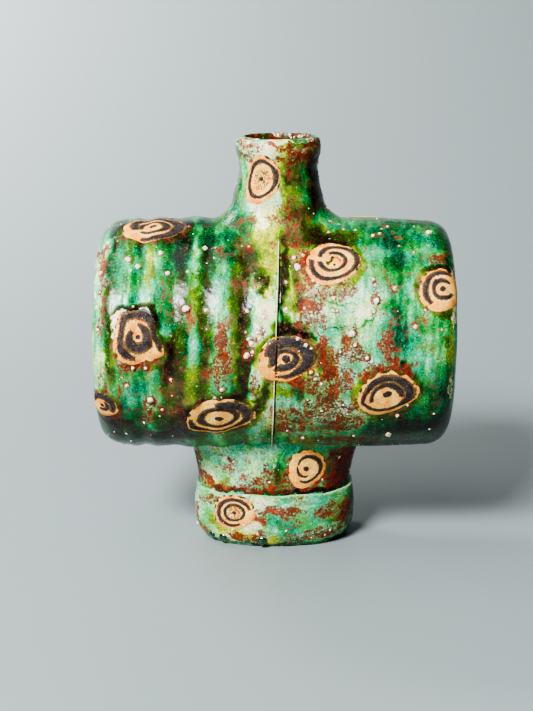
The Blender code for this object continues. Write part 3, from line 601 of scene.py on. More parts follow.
# Glaze thickness of the left cup from the seam to its end, (mm along, thickness): thin on the rib crests
LEFT_STREAKS = (
    (-106, 0.46), (-99, 0.30), (-96, 0.22), (-94, 0.32), (-92.8, 0.61), (-91.2, 0.72), (-89.5, 0.56),
    (-86, 0.52), (-82, 0.54), (-80.6, 0.34), (-79, 0.50), (-75, 0.56), (-71, 0.48), (-68, 0.28),
    (-65.5, 0.40), (-62, 0.56), (-57, 0.60), (-54, 0.68), (-51, 0.76), (-48.5, 0.54), (-46, 0.34),
    (-43.5, 0.38), (-41, 0.61), (-38, 0.72), (-35.5, 0.62), (-33, 0.44), (-29, 0.42), (-25.5, 0.50),
    (-22, 0.62), (-18.5, 0.68), (-15, 0.56), (-12, 0.26), (-7, 0.20), (0, 0.24), (6, 0.24),
)
# The same of the right cup, whose ribs were wiped smooth
RIGHT_STREAKS = (
    (2, 0.42), (5, 0.33), (14, 0.29), (32, 0.29), (46, 0.33), (55, 0.38), (61, 0.46), (66, 0.51), (72, 0.49),
    (78, 0.46), (84, 0.42), (88, 0.48), (92, 0.44), (96, 0.46), (99, 0.33), (103, 0.42), (106, 0.48),
)
def sagged(name, turn):
    """How far out the rim of this roundel lies in this direction, as a share of a round one."""
    if name not in SAGGED_RIMS:
        return 1.0
    angles, shares = np.transpose(SAGGED_RIMS[name])
    return np.interp((np.degrees(turn) + 180) % 360 - 180, angles, shares)


def drum_glaze(side, along, turn, spots, warp):
    """The glaze's layers on the drum: streaks and marks, chance marks on the back, plainer end walls, and
    painted shade: the underside darkened as thicker glaze.
    """
    streaks = np.array(LEFT_STREAKS if side < 0 else RIGHT_STREAKS)
    depth = np.interp(along + uneven(spots, 3, (1.8, 26), (0.7, 8)), streaks[:, 0], streaks[:, 1])
    depth = depth + 0.09 * ripple(spots * (1, 0.3, 0.3), 5 * MM, 9) + 0.10 * ripple(spots, 34 * MM, 10) + 0.03
    crown = np.cos(np.radians(turn))
    # Painted shade: the underside, most of all towards the ends, is darkened as thicker glaze to stand for
    # the shade beneath the drum.
    under = ease(crown, -0.35, -0.90) * (0.12 + 0.88 * ease(np.abs(along), 42, 62))
    behind = ease(spots[..., 1] / MM, -8, 25)
    depth = depth + 0.60 * under + 0.16 * ease(crown, 0.75, 0.98) + 0.05 * behind + 0.04
    depth = depth + marks(DEPTH_MARKS, along, turn, warp)
    olive = 0.20 + 0.16 * ripple(spots, 30 * MM, 11) + marks(OLIVE_MARKS, along, turn, warp)
    iron = 0.16 + 0.14 * ripple(spots, 22 * MM, 12) + marks(IRON_MARKS, along, turn, warp)
    bare = marks(BARE_MARKS, along, turn, warp)
    draw = np.random.RandomState(31)
    for layer, many, strength in ((depth, 26, 0.42), (olive, 20, 0.8), (iron, 34, 0.7), (bare, 10, 0.5)):
        rows = [(draw.uniform(-95, 95), draw.uniform(188, 330), draw.uniform(3, 9), draw.uniform(3, 16),
                 draw.uniform(-15, 15), strength * draw.uniform(0.6, 1.1)) for _ in range(many)]
        layer += marks(rows, along, turn, warp)
    depth = np.where(depth > 0.72, 0.72 + (depth - 0.72) * 0.45, depth)
    wall = ease(np.abs(along), 101, 104.8)
    for layer, level, spread, seed in ((depth, 0.52, 0.2, 20), (olive, 0.25, 0.3, 21), (iron, 0.2, 0.3, 22),
                                       (bare, 0.0, 0.2, 23)):
        layer[:] = layer * (1 - wall) + wall * (level + spread * ripple(spots, 24 * MM, seed))
    radius = np.hypot(spots[..., 1], spots[..., 2] - DRUM_AXIS_Z) / MM
    worn = ease(np.abs(along), 98, 101) * ease(radius, 59, 63)
    bare += 0.5 * worn * ease(ripple(spots, 13 * MM, 24), -0.2, 0.5)
    depth -= 0.2 * worn
    return depth, olive, iron, bare


def painted_drum(side, along, turn, arc, spots):
    """The layers at places on the drum, and how far its skin stands out, in mm. Along is mm from the seam,
    turn degrees from the crown, and arc the same as along but measured round the shoulder. The glaze swells
    and reddens round each roundel and each grain."""
    warp = (uneven(spots, 5, (1.3, 7), (0.6, 2.6)), uneven(spots, 7, (1.6, 7), (0.6, 2.6)))
    depth, olive, iron, bare = drum_glaze(side, along, turn, spots, warp)
    raised = uneven(spots, 13, (0.22, 30), (0.09, 9), (0.04, 3.5))
    raised = raised + 0.16 * np.clip(depth - 0.5, 0, 0.5) - 0.12 * np.clip(iron - 0.5, 0, 1)
    for name, (share, angle, half_width, half_height, thickness, tilt) in DRUM_ROUNDELS.items():
        up = -apart(turn, angle) * MM_PER_DEGREE
        u, v = within(arc - share * DRUM_HALF_LENGTH / MM, up, half_width * ROUNDEL_SIZE / MM,
                      half_height * ROUNDEL_SIZE / MM, tilt)
        far = np.hypot(u, v) / sagged(name, np.arctan2(v, u)) + (warp[0] * 0.012 + warp[1] * 0.012)
        halo = ease(far, 1.34, 1.05)
        raised = raised * (1 - halo) + 0.35 * thickness * halo
        upper = ease(up, -6, 6)
        depth += halo * (0.10 + 0.26 * upper) * ease(ripple(spots, 16 * MM, 16), -0.5, 0.4)
        olive += halo * 0.65
        iron += halo * 0.32 * (1 - upper)
    for x, angle, size in GRAIN_PLACES:
        far = np.hypot(along - x, apart(turn, angle) * MM_PER_DEGREE) / size
        raised = raised + 0.35 * size * ease(far, 3.0, 0.4)
        iron += 0.5 * ease(far, 3.4, 1.8) * ease(far, 0.6, 1.6)
        bare += 0.7 * ease(far, 1.9, 0.9)
    return {"depth": depth, "olive": olive, "iron": iron, "bare": bare}, raised


# The layers of the bare clay on the lips
BARE_LIP = {"bare": 0.75, "iron": 0.2, "depth": 0.15, "olive": 0.3}
def thrown_cup(name, cup, lip):
    """One half of the drum as a closed skin: outside, lap at the seam, and inside."""
    turns = drum_turns()
    distance, radius = cup.outline.T
    spots = drum_point(cup.side * distance[:, None], radius[:, None], turns[None, :])
    along, turn, arc = np.broadcast_arrays(
        (cup.side * distance / MM)[:, None], np.degrees(turns)[None, :],
        (cup.side * (distance[0] + cup.lengths) / MM)[:, None])
    layers, raised = painted_drum(cup.side, along, turn, arc, spots)
    slope = np.gradient(cup.outline, axis=0)
    slope /= np.linalg.norm(slope, axis=1)[:, None]
    lift = raised * MM
    lifted = drum_point(cup.side * (cup.outline[:, 0][:, None] - slope[:, 1][:, None] * lift * 0.6),
                        cup.outline[:, 1][:, None] + slope[:, 0][:, None] * lift, turns[None, :])
    edge = list(lip(turns))
    lap = np.array([drum_point(cup.side * where, np.full(len(turns), reach) + out, turns)
                    for where, reach, out, _ in edge])
    inner = spots_at(distance + slope[:, 1] * DRUM_WALL, radius - slope[:, 0] * DRUM_WALL)[::6]
    inner = inner[(inner[:, 1] > 1.5 * MM) & (inner[:, 0] > 2.7 * MM)]
    inside = drum_point(cup.side * inner[:, 0][:, None], inner[:, 1][:, None], turns[None, :])
    rings = np.concatenate([lifted[::-1], lap, inside])
    full = {}
    for layer, values in layers.items():
        rows = [values[0] * (1 - bare) + bare * BARE_LIP[layer] for *_, bare in edge]
        full[layer] = np.vstack([values[::-1], rows, np.full((len(inside), len(turns)), 0.5)])
    full["bare"][-len(inside):] = 0
    return loft(name, rings, full)


NECK_HOLE_RADIUS = 22.7 * MM


def evaluated(piece):
    """The piece's mesh as its modifiers make it."""
    bpy.context.view_layer.update()
    return bpy.data.meshes.new_from_object(piece.evaluated_get(bpy.context.evaluated_depsgraph_get()))


def neck_hole(piece):
    """Cuts the round hole for the neck in the drum's crown."""
    turns = full_turn(72)
    ring = NECK_HOLE_RADIUS * spots_at(np.cos(turns), np.sin(turns), 0)
    rings = np.stack([ring + (NECK_X, 0, DRUM_AXIS_Z + rise) for rise in (0, 90 * MM)])
    plug = loft("hole", rings, ends="caps")
    cut = piece.modifiers.new("hole", "BOOLEAN")
    cut.operation = "DIFFERENCE"
    cut.solver = "EXACT"
    cut.object = plug
    done = evaluated(piece)
    piece.modifiers.clear()
    piece.data = done
    bpy.data.objects.remove(plug)


def left_lip(turns):
    """The left cup's lip over the seam, a thin proud line, and its tongue: (distance, radius, wave, bare)."""
    wave = 0.1 * MM * np.sin(turns * 9 + 1) + 0.07 * MM * np.sin(turns * 23)
    wander = 0.07 * MM * np.sin(turns * 5) + 0.05 * MM * np.sin(turns * 17)
    for way, out, bare in ((-0.08, 0.52, 0.4), (-0.24, 0.78, 1.0), (-0.50, 0.80, 1.0), (-0.72, 0.60, 0.7),
                           (-0.90, 0.15, 0.1), (-1.06, -0.30, 0.0), (-1.10, -0.60, 0.0)):
        yield way * MM + wander * (way > -1), DRUM_RADIUS + out * MM, wave, bare
    yield -1.1 * MM, DRUM_RADIUS - 1.4 * MM, 0.0, 0.0
    yield -1.1 * MM, DRUM_RADIUS - LAP_DEPTH, 0.0, 1.0
    yield LAP_REACH, DRUM_RADIUS - LAP_DEPTH, 0.0, 1.0
    yield LAP_REACH, DRUM_RADIUS - DRUM_WALL, 0.0, 1.0


def right_lip(turns):
    """The right cup's edge beside the seam and its nose under the left cup's lip."""
    yield 1.5 * MM, DRUM_RADIUS - 0.2 * MM, 0.0, 0.0
    yield 1.4 * MM, DRUM_RADIUS - 1.0 * MM, 0.0, 0.0
    yield 1.4 * MM, DRUM_RADIUS - LAP_DEPTH - 0.3 * MM, 0.0, 1.0
    yield -2.2 * MM, DRUM_RADIUS - LAP_DEPTH - 0.3 * MM, 0.0, 1.0
    yield -2.2 * MM, DRUM_RADIUS - DRUM_WALL, 0.0, 1.0


left_cup = thrown_cup("left_cup", LEFT_CUP, left_lip)
neck_hole(left_cup)
left_cup.data.materials.append(glaze_material("left_cup_glaze", COPPER_GLAZE))
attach(left_cup, "root")
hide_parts("left_drum_half")

# Right cup of the drum. Thrown like the left one and pushed into its lip, its ribs wiped smooth while wet.
# The same glaze went on thinner, so pale green and iron red show through more, and it pooled dark along
# the seam, where painted shadow of the left cup's lip darkens it further.

right_cup = thrown_cup("right_cup", RIGHT_CUP, right_lip)
neck_hole(right_cup)
right_cup.data.materials.append(glaze_material("right_cup_glaze", COPPER_GLAZE))
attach(right_cup, "root")
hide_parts("right_drum_half")

# Neck and mouth, one thrown piece luted to the drum's crown, its join smoothed out into a wide flare by hand.
# The glaze is pale on the left, in part a painted highlight, olive in the middle and nearly black on the
# right, where it ran thick and painted shade from the light on the left darkens it further.

NECK_BASE_Z = DRUM_AXIS_Z + DRUM_RADIUS
NECK_HEIGHT = 47.4 * MM
LIP_RADIUS = 24.9 * MM
# Its outline from the lip down, (share of the height, share of the lip's radius)
NECK_OUTLINE = (
    (1.000, 0.845), (0.996, 0.900), (0.982, 0.948), (0.950, 0.982), (0.885, 1.000), (0.825, 0.988),
    (0.785, 0.972), (0.757, 0.950), (0.735, 0.948), (0.700, 0.945), (0.620, 0.918), (0.540, 0.938),
    (0.451, 0.975), (0.360, 1.015), (0.283, 1.056),
)
MOUTH_OUTLINE = ((0.62, 0.765), (0.80, 0.765), (0.89, 0.750), (0.945, 0.742), (0.978, 0.755), (0.993, 0.785))
BORE_RADIUS = 19 * MM
TENON_RADIUS = 22.3 * MM
NECK_TURNS = 240
NECK_STEPS = 96
FLARE_STEPS = 46
MOUTH_STEPS = 20
# How far the flare reaches out on the drum, to the sides and to the front
FLARE_TO_SIDE = 40 * MM
FLARE_TO_FRONT = 37 * MM
# The radius in mm that the neck's marks are measured on, and how far from its axis the flare has taken on
# the drum's own glaze
NECK_MARK_RADIUS = 24.5
DRUM_GLAZE_FROM = 30
# Glaze thickness round the neck, (degrees from the front to the right, thickness). Thin on the front left,
# partly a painted highlight, and thickest on the right, partly painted shade.
NECK_STREAKS = (
    (-180, 0.52), (-150, 0.62), (-125, 0.50), (-105, 0.58), (-92, 0.50), (-80, 0.60), (-70, 0.56),
    (-60, 0.38), (-45, 0.28), (-15, 0.22), (0, 0.24), (8, 0.38), (15, 0.58), (24, 0.60), (30, 0.60),
    (37, 0.56), (43, 0.70), (50, 0.88), (66, 0.98), (84, 0.98), (104, 0.90), (128, 0.66), (150, 0.50),
    (180, 0.52),
)
# Marks in the neck's glaze, each: degrees, mm above the drum's crown, half width and half height in mm,
# tilt, strength
NECK_DEPTH = (
    (-80, 12, 4, 10, 0, 0.15), (-66, 20, 3, 10, 0, 0.15), (38, 16, 3, 10, 10, 0.1),
    # Painted highlight: the thinning marks at -24 and -10 degrees, 6 to 9 mm up, pale the neck's front-left
    # base where the window's reflection lies.
    (12, 26, 3, 6, -10, 0.2), (-24, 6, 5, 7, 0, -0.16), (-10, 9, 4, 7, 0, -0.12), (24, 4, 11, 5, 0, 0.3),
    (80, 43, 16, 4, 0, -0.3), (-30, 42, 18, 4, 0, -0.10), (60, 2, 12, 5, 0, 0.15), (-60, 44, 14, 3, 0, -0.2),
    (-46, 31, 3, 3, 0, -0.15), (30, 40, 14, 4, 0, -0.1),
)
NECK_OLIVE = (
    (16, 24, 6, 20, 0, 0.9), (8, 32, 8, 4, 0, 0.7), (52, 24, 5, 22, 0, 0.35), (22, 4, 13, 7, 0, 1.0),
    (-100, 6, 6, 10, 0, 0.6), (14, 44, 9, 4, 0, 0.6), (-36, 2, 10, 3, 0, 0.5), (160, 20, 10, 18, 0, 0.6),
    (70, 43, 14, 5, 0, 0.9), (-52, 10, 3, 8, 0, 0.4), (-84, 24, 2, 20, 0, 0.6), (46, 36, 8, 5, 0, 0.6),
)
NECK_IRON = (
    (-55, 37.0, 9, 1.6, -14, 0.85), (-30, 35.6, 8, 2.2, 0, 0.75), (4, 35.5, 6, 2.2, 0, 0.9),
    (22, 35, 8, 2, 0, 0.75), (14, 41.5, 7, 2.6, 0, 0.85), (-62, 43, 12, 3, 0, 0.6), (-20, 44.5, 9, 2, 0, 0.6),
    (-2, 2, 4, 4, 0, 0.7), (40, 2, 10, 4, 0, 0.6), (-96, 30, 4, 10, 0, 0.4), (110, 40, 14, 3, 0, 0.6),
    (170, 40, 20, 4, 0, 0.6), (-140, 36, 20, 2, 0, 0.7), (-42, 1, 6, 4, 0, 0.75), (60, 44, 10, 2.4, 0, 0.6),
    (16, 27, 5, 8, 0, 0.26), (22, 12, 5, 8, 0, 0.3), (36, 38, 12, 3, 0, 0.45), (24, 3, 12, 6, 0, 0.4),
    (-46, 45, 14, 2, 0, 0.5),
)
NECK_BARE = (
    (-40, 45.8, 26, 1.8, 0, 0.5), (40, 46.4, 20, 1.4, 0, 0.42), (160, 46, 40, 1.6, 0, 0.45),
    (-96, 26, 2.4, 20, 0, 0.3), (-20, 41, 8, 2.5, 0, 0.45), (-66, 40, 5, 4, 0, 0.4), (30, 42, 8, 2, 0, 0.42),
)
def rounded(outline, count):
    """An outline's points made even and soft."""
    outline = np.array(outline)
    way = way_along(outline)
    even = np.linspace(0, way[-1], count)
    return softened(np.stack([np.interp(even, way, outline[:, i]) for i in (0, 1)], axis=1), 6)


def round_marks(rows, degrees, up, radius, warp):
    """As the drum's marks, on a standing piece: degrees from the front to the right, mm up."""
    total = np.zeros(degrees.shape)
    for angle, height, *size, tilt, strength in rows:
        right = np.radians(apart(degrees, angle)) * radius + warp[0]
        total += strength * ease(np.hypot(*within(right, up - height + warp[1], *size, tilt)), *MARK_FADE)
    return total


def standing_paint(spots, degrees, up, radius, streaks, rows, seed):
    """The four paint layers of a standing piece from its streak table and its marks."""
    warp = tuple(uneven(spots, seed + start, (1.2, 7), (0.6, 2.6)) for start in (0, 2))
    table = np.array(streaks)
    depth = np.interp(degrees + warp[0] * 4, table[:, 0], table[:, 1])
    depth = depth + 0.10 * ripple(spots, 20 * MM, seed + 4)
    layers = {"depth": depth, "olive": 0.22 + 0.2 * ripple(spots, 18 * MM, seed + 5),
              "iron": 0.22 + 0.16 * ripple(spots, 14 * MM, seed + 6), "bare": np.zeros(depth.shape)}
    for layer, its_rows in rows.items():
        layers[layer] = layers[layer] + round_marks(its_rows, degrees, up, radius, warp)
    return layers


def saddle(y, radius):
    return np.sqrt(radius**2 - y**2)


def neck_rings():
    """The neck's outside from the lip down over its flare, and its inside from there up to the mouth."""
    turns = full_turn(NECK_TURNS)
    out_x, out_y = np.cos(turns)[:, None], np.sin(turns)[:, None]

    def points(radius, up):
        return spots_at(NECK_X + out_x * radius, out_y * radius, up)

    outline = rounded(NECK_OUTLINE, NECK_STEPS)
    up = np.broadcast_to(NECK_BASE_Z + outline[:, 0] * NECK_HEIGHT, (NECK_TURNS, NECK_STEPS))
    radius = np.broadcast_to(outline[:, 1] * LIP_RADIUS, (NECK_TURNS, NECK_STEPS))
    bend = np.linspace(0, math.pi / 2, FLARE_STEPS)[1:]
    throat = radius[:, -1:]
    reach = FLARE_TO_SIDE + (FLARE_TO_FRONT - FLARE_TO_SIDE) * out_y**2
    flare_radius = throat + (reach - throat) * (1 - np.cos(bend))
    start = up[:, -1:] - DRUM_AXIS_Z - saddle(out_y * throat, DRUM_RADIUS)
    flare_up = DRUM_AXIS_Z + saddle(out_y * flare_radius, DRUM_RADIUS) + start * (1 - np.sin(bend)) ** 0.9
    flare_up = flare_up - 0.9 * MM * ease(bend, 1.0, math.pi / 2)
    radius, up = np.hstack([radius, flare_radius]), np.hstack([up, flare_up])
    spots = points(radius, up)
    high = ease(up, NECK_BASE_Z + 40 * MM, NECK_BASE_Z + 47 * MM)
    swell = uneven(spots, 40, (0.35, 26), (0.12, 8), (0.05, 3))
    swell = swell - 0.45 - 0.25 * high * ripple(spots, 5 * MM, 43)
    up = up - (0.35 + 0.35 * ripple(spots, 16 * MM, 44)).clip(0, 1) * MM * high
    outside = points(radius + swell * MM, up)
    seat = DRUM_AXIS_Z + saddle(out_y * TENON_RADIUS, DRUM_RADIUS) - 1.2 * MM
    drum_inside = DRUM_AXIS_Z + saddle(out_y * TENON_RADIUS, DRUM_RADIUS - DRUM_WALL)
    mouth = rounded(MOUTH_OUTLINE, MOUTH_STEPS)
    bore = mouth[:, 1][None, :] * LIP_RADIUS + swell[:, :1] * MM * ease(mouth[:, 0], 0.8, 1.0)
    steps = [given + 0 * reach for given in (TENON_RADIUS, TENON_RADIUS, BORE_RADIUS)]
    inner_radius = np.hstack([reach - 1 * MM, *steps, bore])
    inner_up = np.hstack([flare_up[:, -1:] - 0.3 * MM, seat, drum_inside, drum_inside,
                          NECK_BASE_Z + mouth[:, 0][None, :] * NECK_HEIGHT + 0 * bore])
    return outside, points(inner_radius, inner_up)
neck_outside, neck_inside = neck_rings()
neck_spots = np.concatenate([neck_outside, neck_inside], axis=1)
neck_degrees = np.degrees(np.arctan2(neck_spots[..., 0] - NECK_X, -neck_spots[..., 1]))
neck_up = (neck_spots[..., 2] - NECK_BASE_Z) / MM
neck_layers = standing_paint(
    neck_spots, neck_degrees, neck_up, NECK_MARK_RADIUS, NECK_STREAKS,
    {"depth": NECK_DEPTH, "olive": NECK_OLIVE, "iron": NECK_IRON, "bare": NECK_BARE}, 50)
# Far out on its flare the neck carries the drum's own glaze
neck_reach = np.hypot(neck_spots[..., 0] - NECK_X, neck_spots[..., 1]) / MM
far_out = ease(neck_reach, NECK_MARK_RADIUS, DRUM_GLAZE_FROM)
under_along = (neck_spots[..., 0] - SEAM_LEAN) / MM
under_turn = np.degrees(np.arctan2(-neck_spots[..., 1], neck_spots[..., 2] - DRUM_AXIS_Z))
left_paint, right_paint = (
    painted_drum(side, under_along, under_turn, under_along, neck_spots)[0] for side in (-1, 1))
for layer, values in neck_layers.items():
    drum_values = np.where(under_along < 0, left_paint[layer], right_paint[layer])
    neck_layers[layer] = values * (1 - far_out) + drum_values * far_out
neck_hidden = slice(neck_outside.shape[1], None)
neck_layers["depth"][:, neck_hidden] = 0.78
neck_layers["olive"][:, neck_hidden] = 0.9
neck_layers["iron"][:, neck_hidden] += 0.3
neck = loft("neck_and_mouth", neck_spots, neck_layers, ends="loop")
neck.data.materials.append(glaze_material("neck_glaze", COPPER_GLAZE, (1.0, 1.0, 0.35)))
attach(neck, "root")
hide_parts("neck")

# Stem of the foot, an oval ring pulled up from the base and pressed to the drum's underside while soft. The
# glaze ran down it into the groove above the band, where it lies green, red and dark.

FOOT_HALF_WIDTH = 48.6 * MM
FOOT_HALF_DEPTH = 33.6 * MM
OVAL_POWER = 2.2
# The radius in mm that the foot's marks are measured on
FOOT_MARK_RADIUS = 42
STEM_WALL = 5 * MM
PIECE_GAP = 0.3 * MM
# How far the stem's upper edge flares out, at the sides and at the front
STEM_FLARE_SIDE = 0.9 * MM
STEM_FLARE_FRONT = 9 * MM
BAND_HEIGHT = 33 * MM
BAND_RAISE = 0.6 * MM
BAND_THICKNESS = 1.8 * MM
BAND_UNDERCUT = 5.5 * MM
BAND_OUTLINE = ((1.0, 0.15), (0.66, 0.0), (0.36, 0.0), (0.20, 0.18), (0.09, 0.55), (0.0, 1.0))
STEM_TURNS = 240
STEM_HIDDEN_STEPS = 14
STEM_WALL_STEPS = 60
STEM_STREAKS = (
    (-180, 0.5), (-130, 0.6), (-100, 0.8), (-82, 0.72), (-66, 0.40), (-45, 0.34), (-25, 0.38), (-8, 0.42),
    (2, 0.5), (14, 0.5), (30, 0.45), (48, 0.60), (60, 0.80), (90, 0.9), (130, 0.7), (180, 0.5),
)
STEM_DEPTH = (
    (0, 35, 60, 1.7, 0, 0.4), (35, 34.6, 22, 1.4, 0, 0.3), (-40, 35, 12, 2, 0, 0.3), (2, 46, 3, 10, 0, 0.2),
    (12, 44, 4, 6, 0, 0.2), (-56, 48, 9, 9, 0, -0.1), (-25, 50, 10, 8, 0, -0.08), (58, 46, 13, 14, 0, 0.4),
    (20, 36, 12, 2, 0, 0.3), (140, 46, 14, 10, 0, 0.2),
)
STEM_OLIVE = ((40, 35, 22, 2.2, 0, 0.9), (-52, 37, 10, 3, 0, 0.7), (58, 46, 13, 14, 0, 0.95),
              (4, 50, 4, 10, 0, 0.4))
STEM_IRON = (
    (8, 37.5, 16, 2.6, 4, 1.0), (-12, 40, 7, 4, 30, 0.9), (-5, 47, 3, 6, 0, 0.8), (-62, 39, 12, 4, -16, 0.85),
    (-30, 36.5, 12, 2, 0, 0.9), (-32, 52, 8, 4, 30, 0.4), (50, 40, 16, 3, 8, 0.95), (60, 56, 12, 4, 0, 0.8),
    (22, 55, 8, 3, 0, 0.85), (-78, 44, 6, 10, 0, 0.7), (14, 45, 5, 6, 0, 0.7), (-45, 46, 5, 5, 0, 0.3),
    (120, 40, 14, 4, 0, 0.8), (180, 38, 20, 4, 0, 0.8), (-130, 42, 12, 6, 0, 0.7), (-20, 43, 18, 5, 0, 0.2),
    (52, 50, 14, 12, 0, 0.5), (-66, 50, 5, 10, 0, 0.6),
)
STEM_BARE = ((-36, 55, 3, 5, 40, 0.5), (-16, 57, 6, 3, 0, 0.45), (0, 56, 1.6, 12, 0, 0.5),
             (16, 53, 2.4, 3, 0, 0.5))


def oval(inset, angle, height):
    """A point of the foot's oval, set in evenly. The angle runs from the front to the right."""
    across, deep = np.sin(angle), np.cos(angle)
    spread = np.abs(across / (FOOT_HALF_WIDTH - inset)) ** OVAL_POWER
    spread = spread + np.abs(deep / (FOOT_HALF_DEPTH - inset)) ** OVAL_POWER
    radius = spread ** (-1 / OVAL_POWER)
    return spots_at(radius * across, -radius * deep, height)


def oval_degrees(spots):
    """Degrees round the foot's oval, from the front to the right."""
    return np.degrees(np.arctan2(spots[..., 0] / FOOT_HALF_WIDTH, -spots[..., 1] / FOOT_HALF_DEPTH))


def stem_rings():
    """The stem's skin: up behind the band, up the wall to the drum, and down inside."""
    angle = np.linspace(-math.pi, math.pi, STEM_TURNS, endpoint=False)[:, None]
    behind = BAND_THICKNESS + PIECE_GAP
    low = np.array(BAND_OUTLINE[::-1])
    low_z = BAND_RAISE + np.linspace(0, 1, STEM_HIDDEN_STEPS)[None, :] * BAND_HEIGHT * 0.985
    low_inset = np.interp(low_z, BAND_RAISE + low[:, 0] * BAND_HEIGHT, low[:, 1] * BAND_UNDERCUT) + behind
    base = oval(BAND_UNDERCUT + behind, angle, 0.0 * angle)
    hidden = oval(low_inset, angle, low_z)
    rise = np.linspace(0, 1, STEM_WALL_STEPS)[None, :]
    flare = STEM_FLARE_SIDE + (STEM_FLARE_FRONT - STEM_FLARE_SIDE) * np.cos(angle) ** 2
    top_inset = BAND_OUTLINE[0][1] * BAND_UNDERCUT + behind
    inset = top_inset + 0.5 * MM * np.sin(rise * math.pi) - (top_inset + 2 * MM) * rise**1.6
    inset = inset - (flare - 2 * MM) * rise**6
    rim = oval(-flare, angle, 0.0 * angle)
    rim_z = DRUM_AXIS_Z - saddle(rim[..., 1], DRUM_RADIUS) + 0.9 * MM
    start = BAND_RAISE + BAND_HEIGHT
    wall = oval(inset, angle, start + (rim_z - start) * (1 - (1 - rise) ** (1 + 0.5 * np.cos(angle) ** 2)))
    swell = uneven(wall, 60, (0.3, 24), (0.14, 7), (0.05, 3))
    outward = oval(0, angle, 0.0 * angle)
    outward /= np.linalg.norm(outward, axis=-1)[..., None]
    wall = wall + outward * (swell * MM * ease(rise, 0, 0.1))[..., None]
    inner = oval(STEM_WALL, angle, rim_z + 2 * MM)
    shelf = oval(behind + STEM_WALL, angle, BAND_HEIGHT + 0 * angle)
    bottom = oval(BAND_UNDERCUT + behind + STEM_WALL, angle, 0.0 * angle)
    ledge = wall[:, -1:] + (0, 0, 2 * MM)
    return np.concatenate([base, hidden, wall, ledge, inner, shelf, bottom], axis=1)


stem_spots = stem_rings()
stem_layers = standing_paint(
    stem_spots, oval_degrees(stem_spots), stem_spots[..., 2] / MM, FOOT_MARK_RADIUS, STEM_STREAKS,
    {"depth": STEM_DEPTH, "olive": STEM_OLIVE, "iron": STEM_IRON, "bare": STEM_BARE}, 70)
for layer, given in (("depth", 0.5), ("iron", 0.6), ("bare", 0.75)):
    stem_layers[layer][:, -3:] = given
stem = loft("stem", stem_spots, stem_layers, ends="loop")
stem.data.materials.append(glaze_material("stem_glaze", COPPER_GLAZE, (0.8, 0.8, 0.5)))
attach(stem, "root")
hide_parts("foot_stem")

# Band of the foot, a rolled strip of clay wrapped round the stem and pressed on, its ends meeting at the
# back. Its cut top edge is bare and pale, and its lower edge curls under.

BAND_TURNS = 250
BAND_STEPS = 44
BAND_STREAKS = (
    (-180, 0.40), (-120, 0.36), (-95, 0.40), (-75, 0.30), (-58, 0.36), (-40, 0.26), (-20, 0.20), (-8, 0.26),
    (4, 0.40), (20, 0.42), (40, 0.40), (58, 0.44), (72, 0.6), (90, 0.72), (120, 0.5), (180, 0.40),
)
BAND_DEPTH = (
    (-4, 15, 12, 6, 0, 0.12), (20, 17, 14, 7, 4, 0.14), (0, 2.0, 26, 1.6, 0, 0.35),
    (-50, 2.0, 16, 1.6, 0, 0.45), (-13, 1.5, 4, 2, 0, 0.4), (60, 2, 16, 1.6, 0, 0.4),
    (10, 28, 20, 3, 0, -0.06), (66, 16, 6, 12, 0, 0.2), (180, 12, 16, 8, 0, 0.2), (-140, 20, 14, 8, 0, 0.16),
)
BAND_OLIVE = ((-34, 11, 8, 4, 0, 0.7), (-20, 8, 7, 3, 0, 0.6), (-48, 16, 3, 4, 0, 0.7),
              (50, 20, 10, 9, 0, 0.5), (0, 5, 10, 3, 0, 0.6))
BAND_IRON = (
    (24, 7.5, 12, 3.4, 8, 1.0), (46, 9.5, 13, 4, 12, 1.0), (60, 19, 6, 9, 0, 0.9), (-76, 15, 5, 9, -10, 0.95),
    (-66, 8, 8, 3, -10, 0.8), (-22, 5.6, 9, 2.6, -6, 0.95), (-10, 9, 5, 3, 0, 0.75), (-12, 20, 5, 6, 0, 0.62),
    (4, 24, 14, 2.4, 0, 0.58), (8, 21.5, 3, 3, 0, 0.6), (-60, 26, 8, 3, 0, 0.55), (38, 22, 10, 5, 0, 0.6),
    (-46, 28, 9, 2.4, 0, 0.7), (120, 10, 14, 4, 0, 0.9), (170, 26, 12, 3, 0, 0.7), (-120, 8, 14, 3, 0, 0.85),
    (-160, 14, 8, 6, 0, 0.7), (95, 22, 8, 6, 0, 0.7),
)
BAND_BARE = ((-26, 15, 12, 6, 0, 0.34), (-14, 12, 6, 5, 0, 0.4), (-70, 25, 5, 5, 0, 0.3),
             (10, 4, 14, 1.2, 0, 0.4))
# The band's cut top edge, (inwards, upwards) in mm
BAND_EDGE = ((0.5, 0.25), (1.0, 0.35), (1.5, 0.2))


def band_rings():
    """The strip's cross-section at steps from one end at the back, round the front, to the other end."""
    gap = 0.25 * MM / FOOT_HALF_DEPTH
    angle = np.linspace(math.pi + gap, 3 * math.pi - gap, BAND_TURNS)[:, None]
    shape = rounded(BAND_OUTLINE, BAND_STEPS)
    wave = uneven(oval(0, angle, 0 * angle), 80, (0.3, 22), (0.1, 5))
    height = BAND_RAISE + shape[:, 0][None, :] * (BAND_HEIGHT - 0.5 * MM + wave * MM)
    spots = oval(0, angle, height)
    swell = uneven(spots, 82, (0.25, 26), (0.12, 8), (0.05, 3))
    inset = shape[:, 1][None, :] * BAND_UNDERCUT + (0.45 - swell) * MM
    outside = oval(inset, angle, height)
    edge = np.array(BAND_EDGE) * MM
    top = oval(inset[:, :1] + edge[:, 0], angle, height[:, :1] + edge[:, 1])
    under = oval(inset[:, ::4] + BAND_THICKNESS, angle, height[:, ::4])
    return np.concatenate([top[:, ::-1], outside, under[:, ::-1]], axis=1)


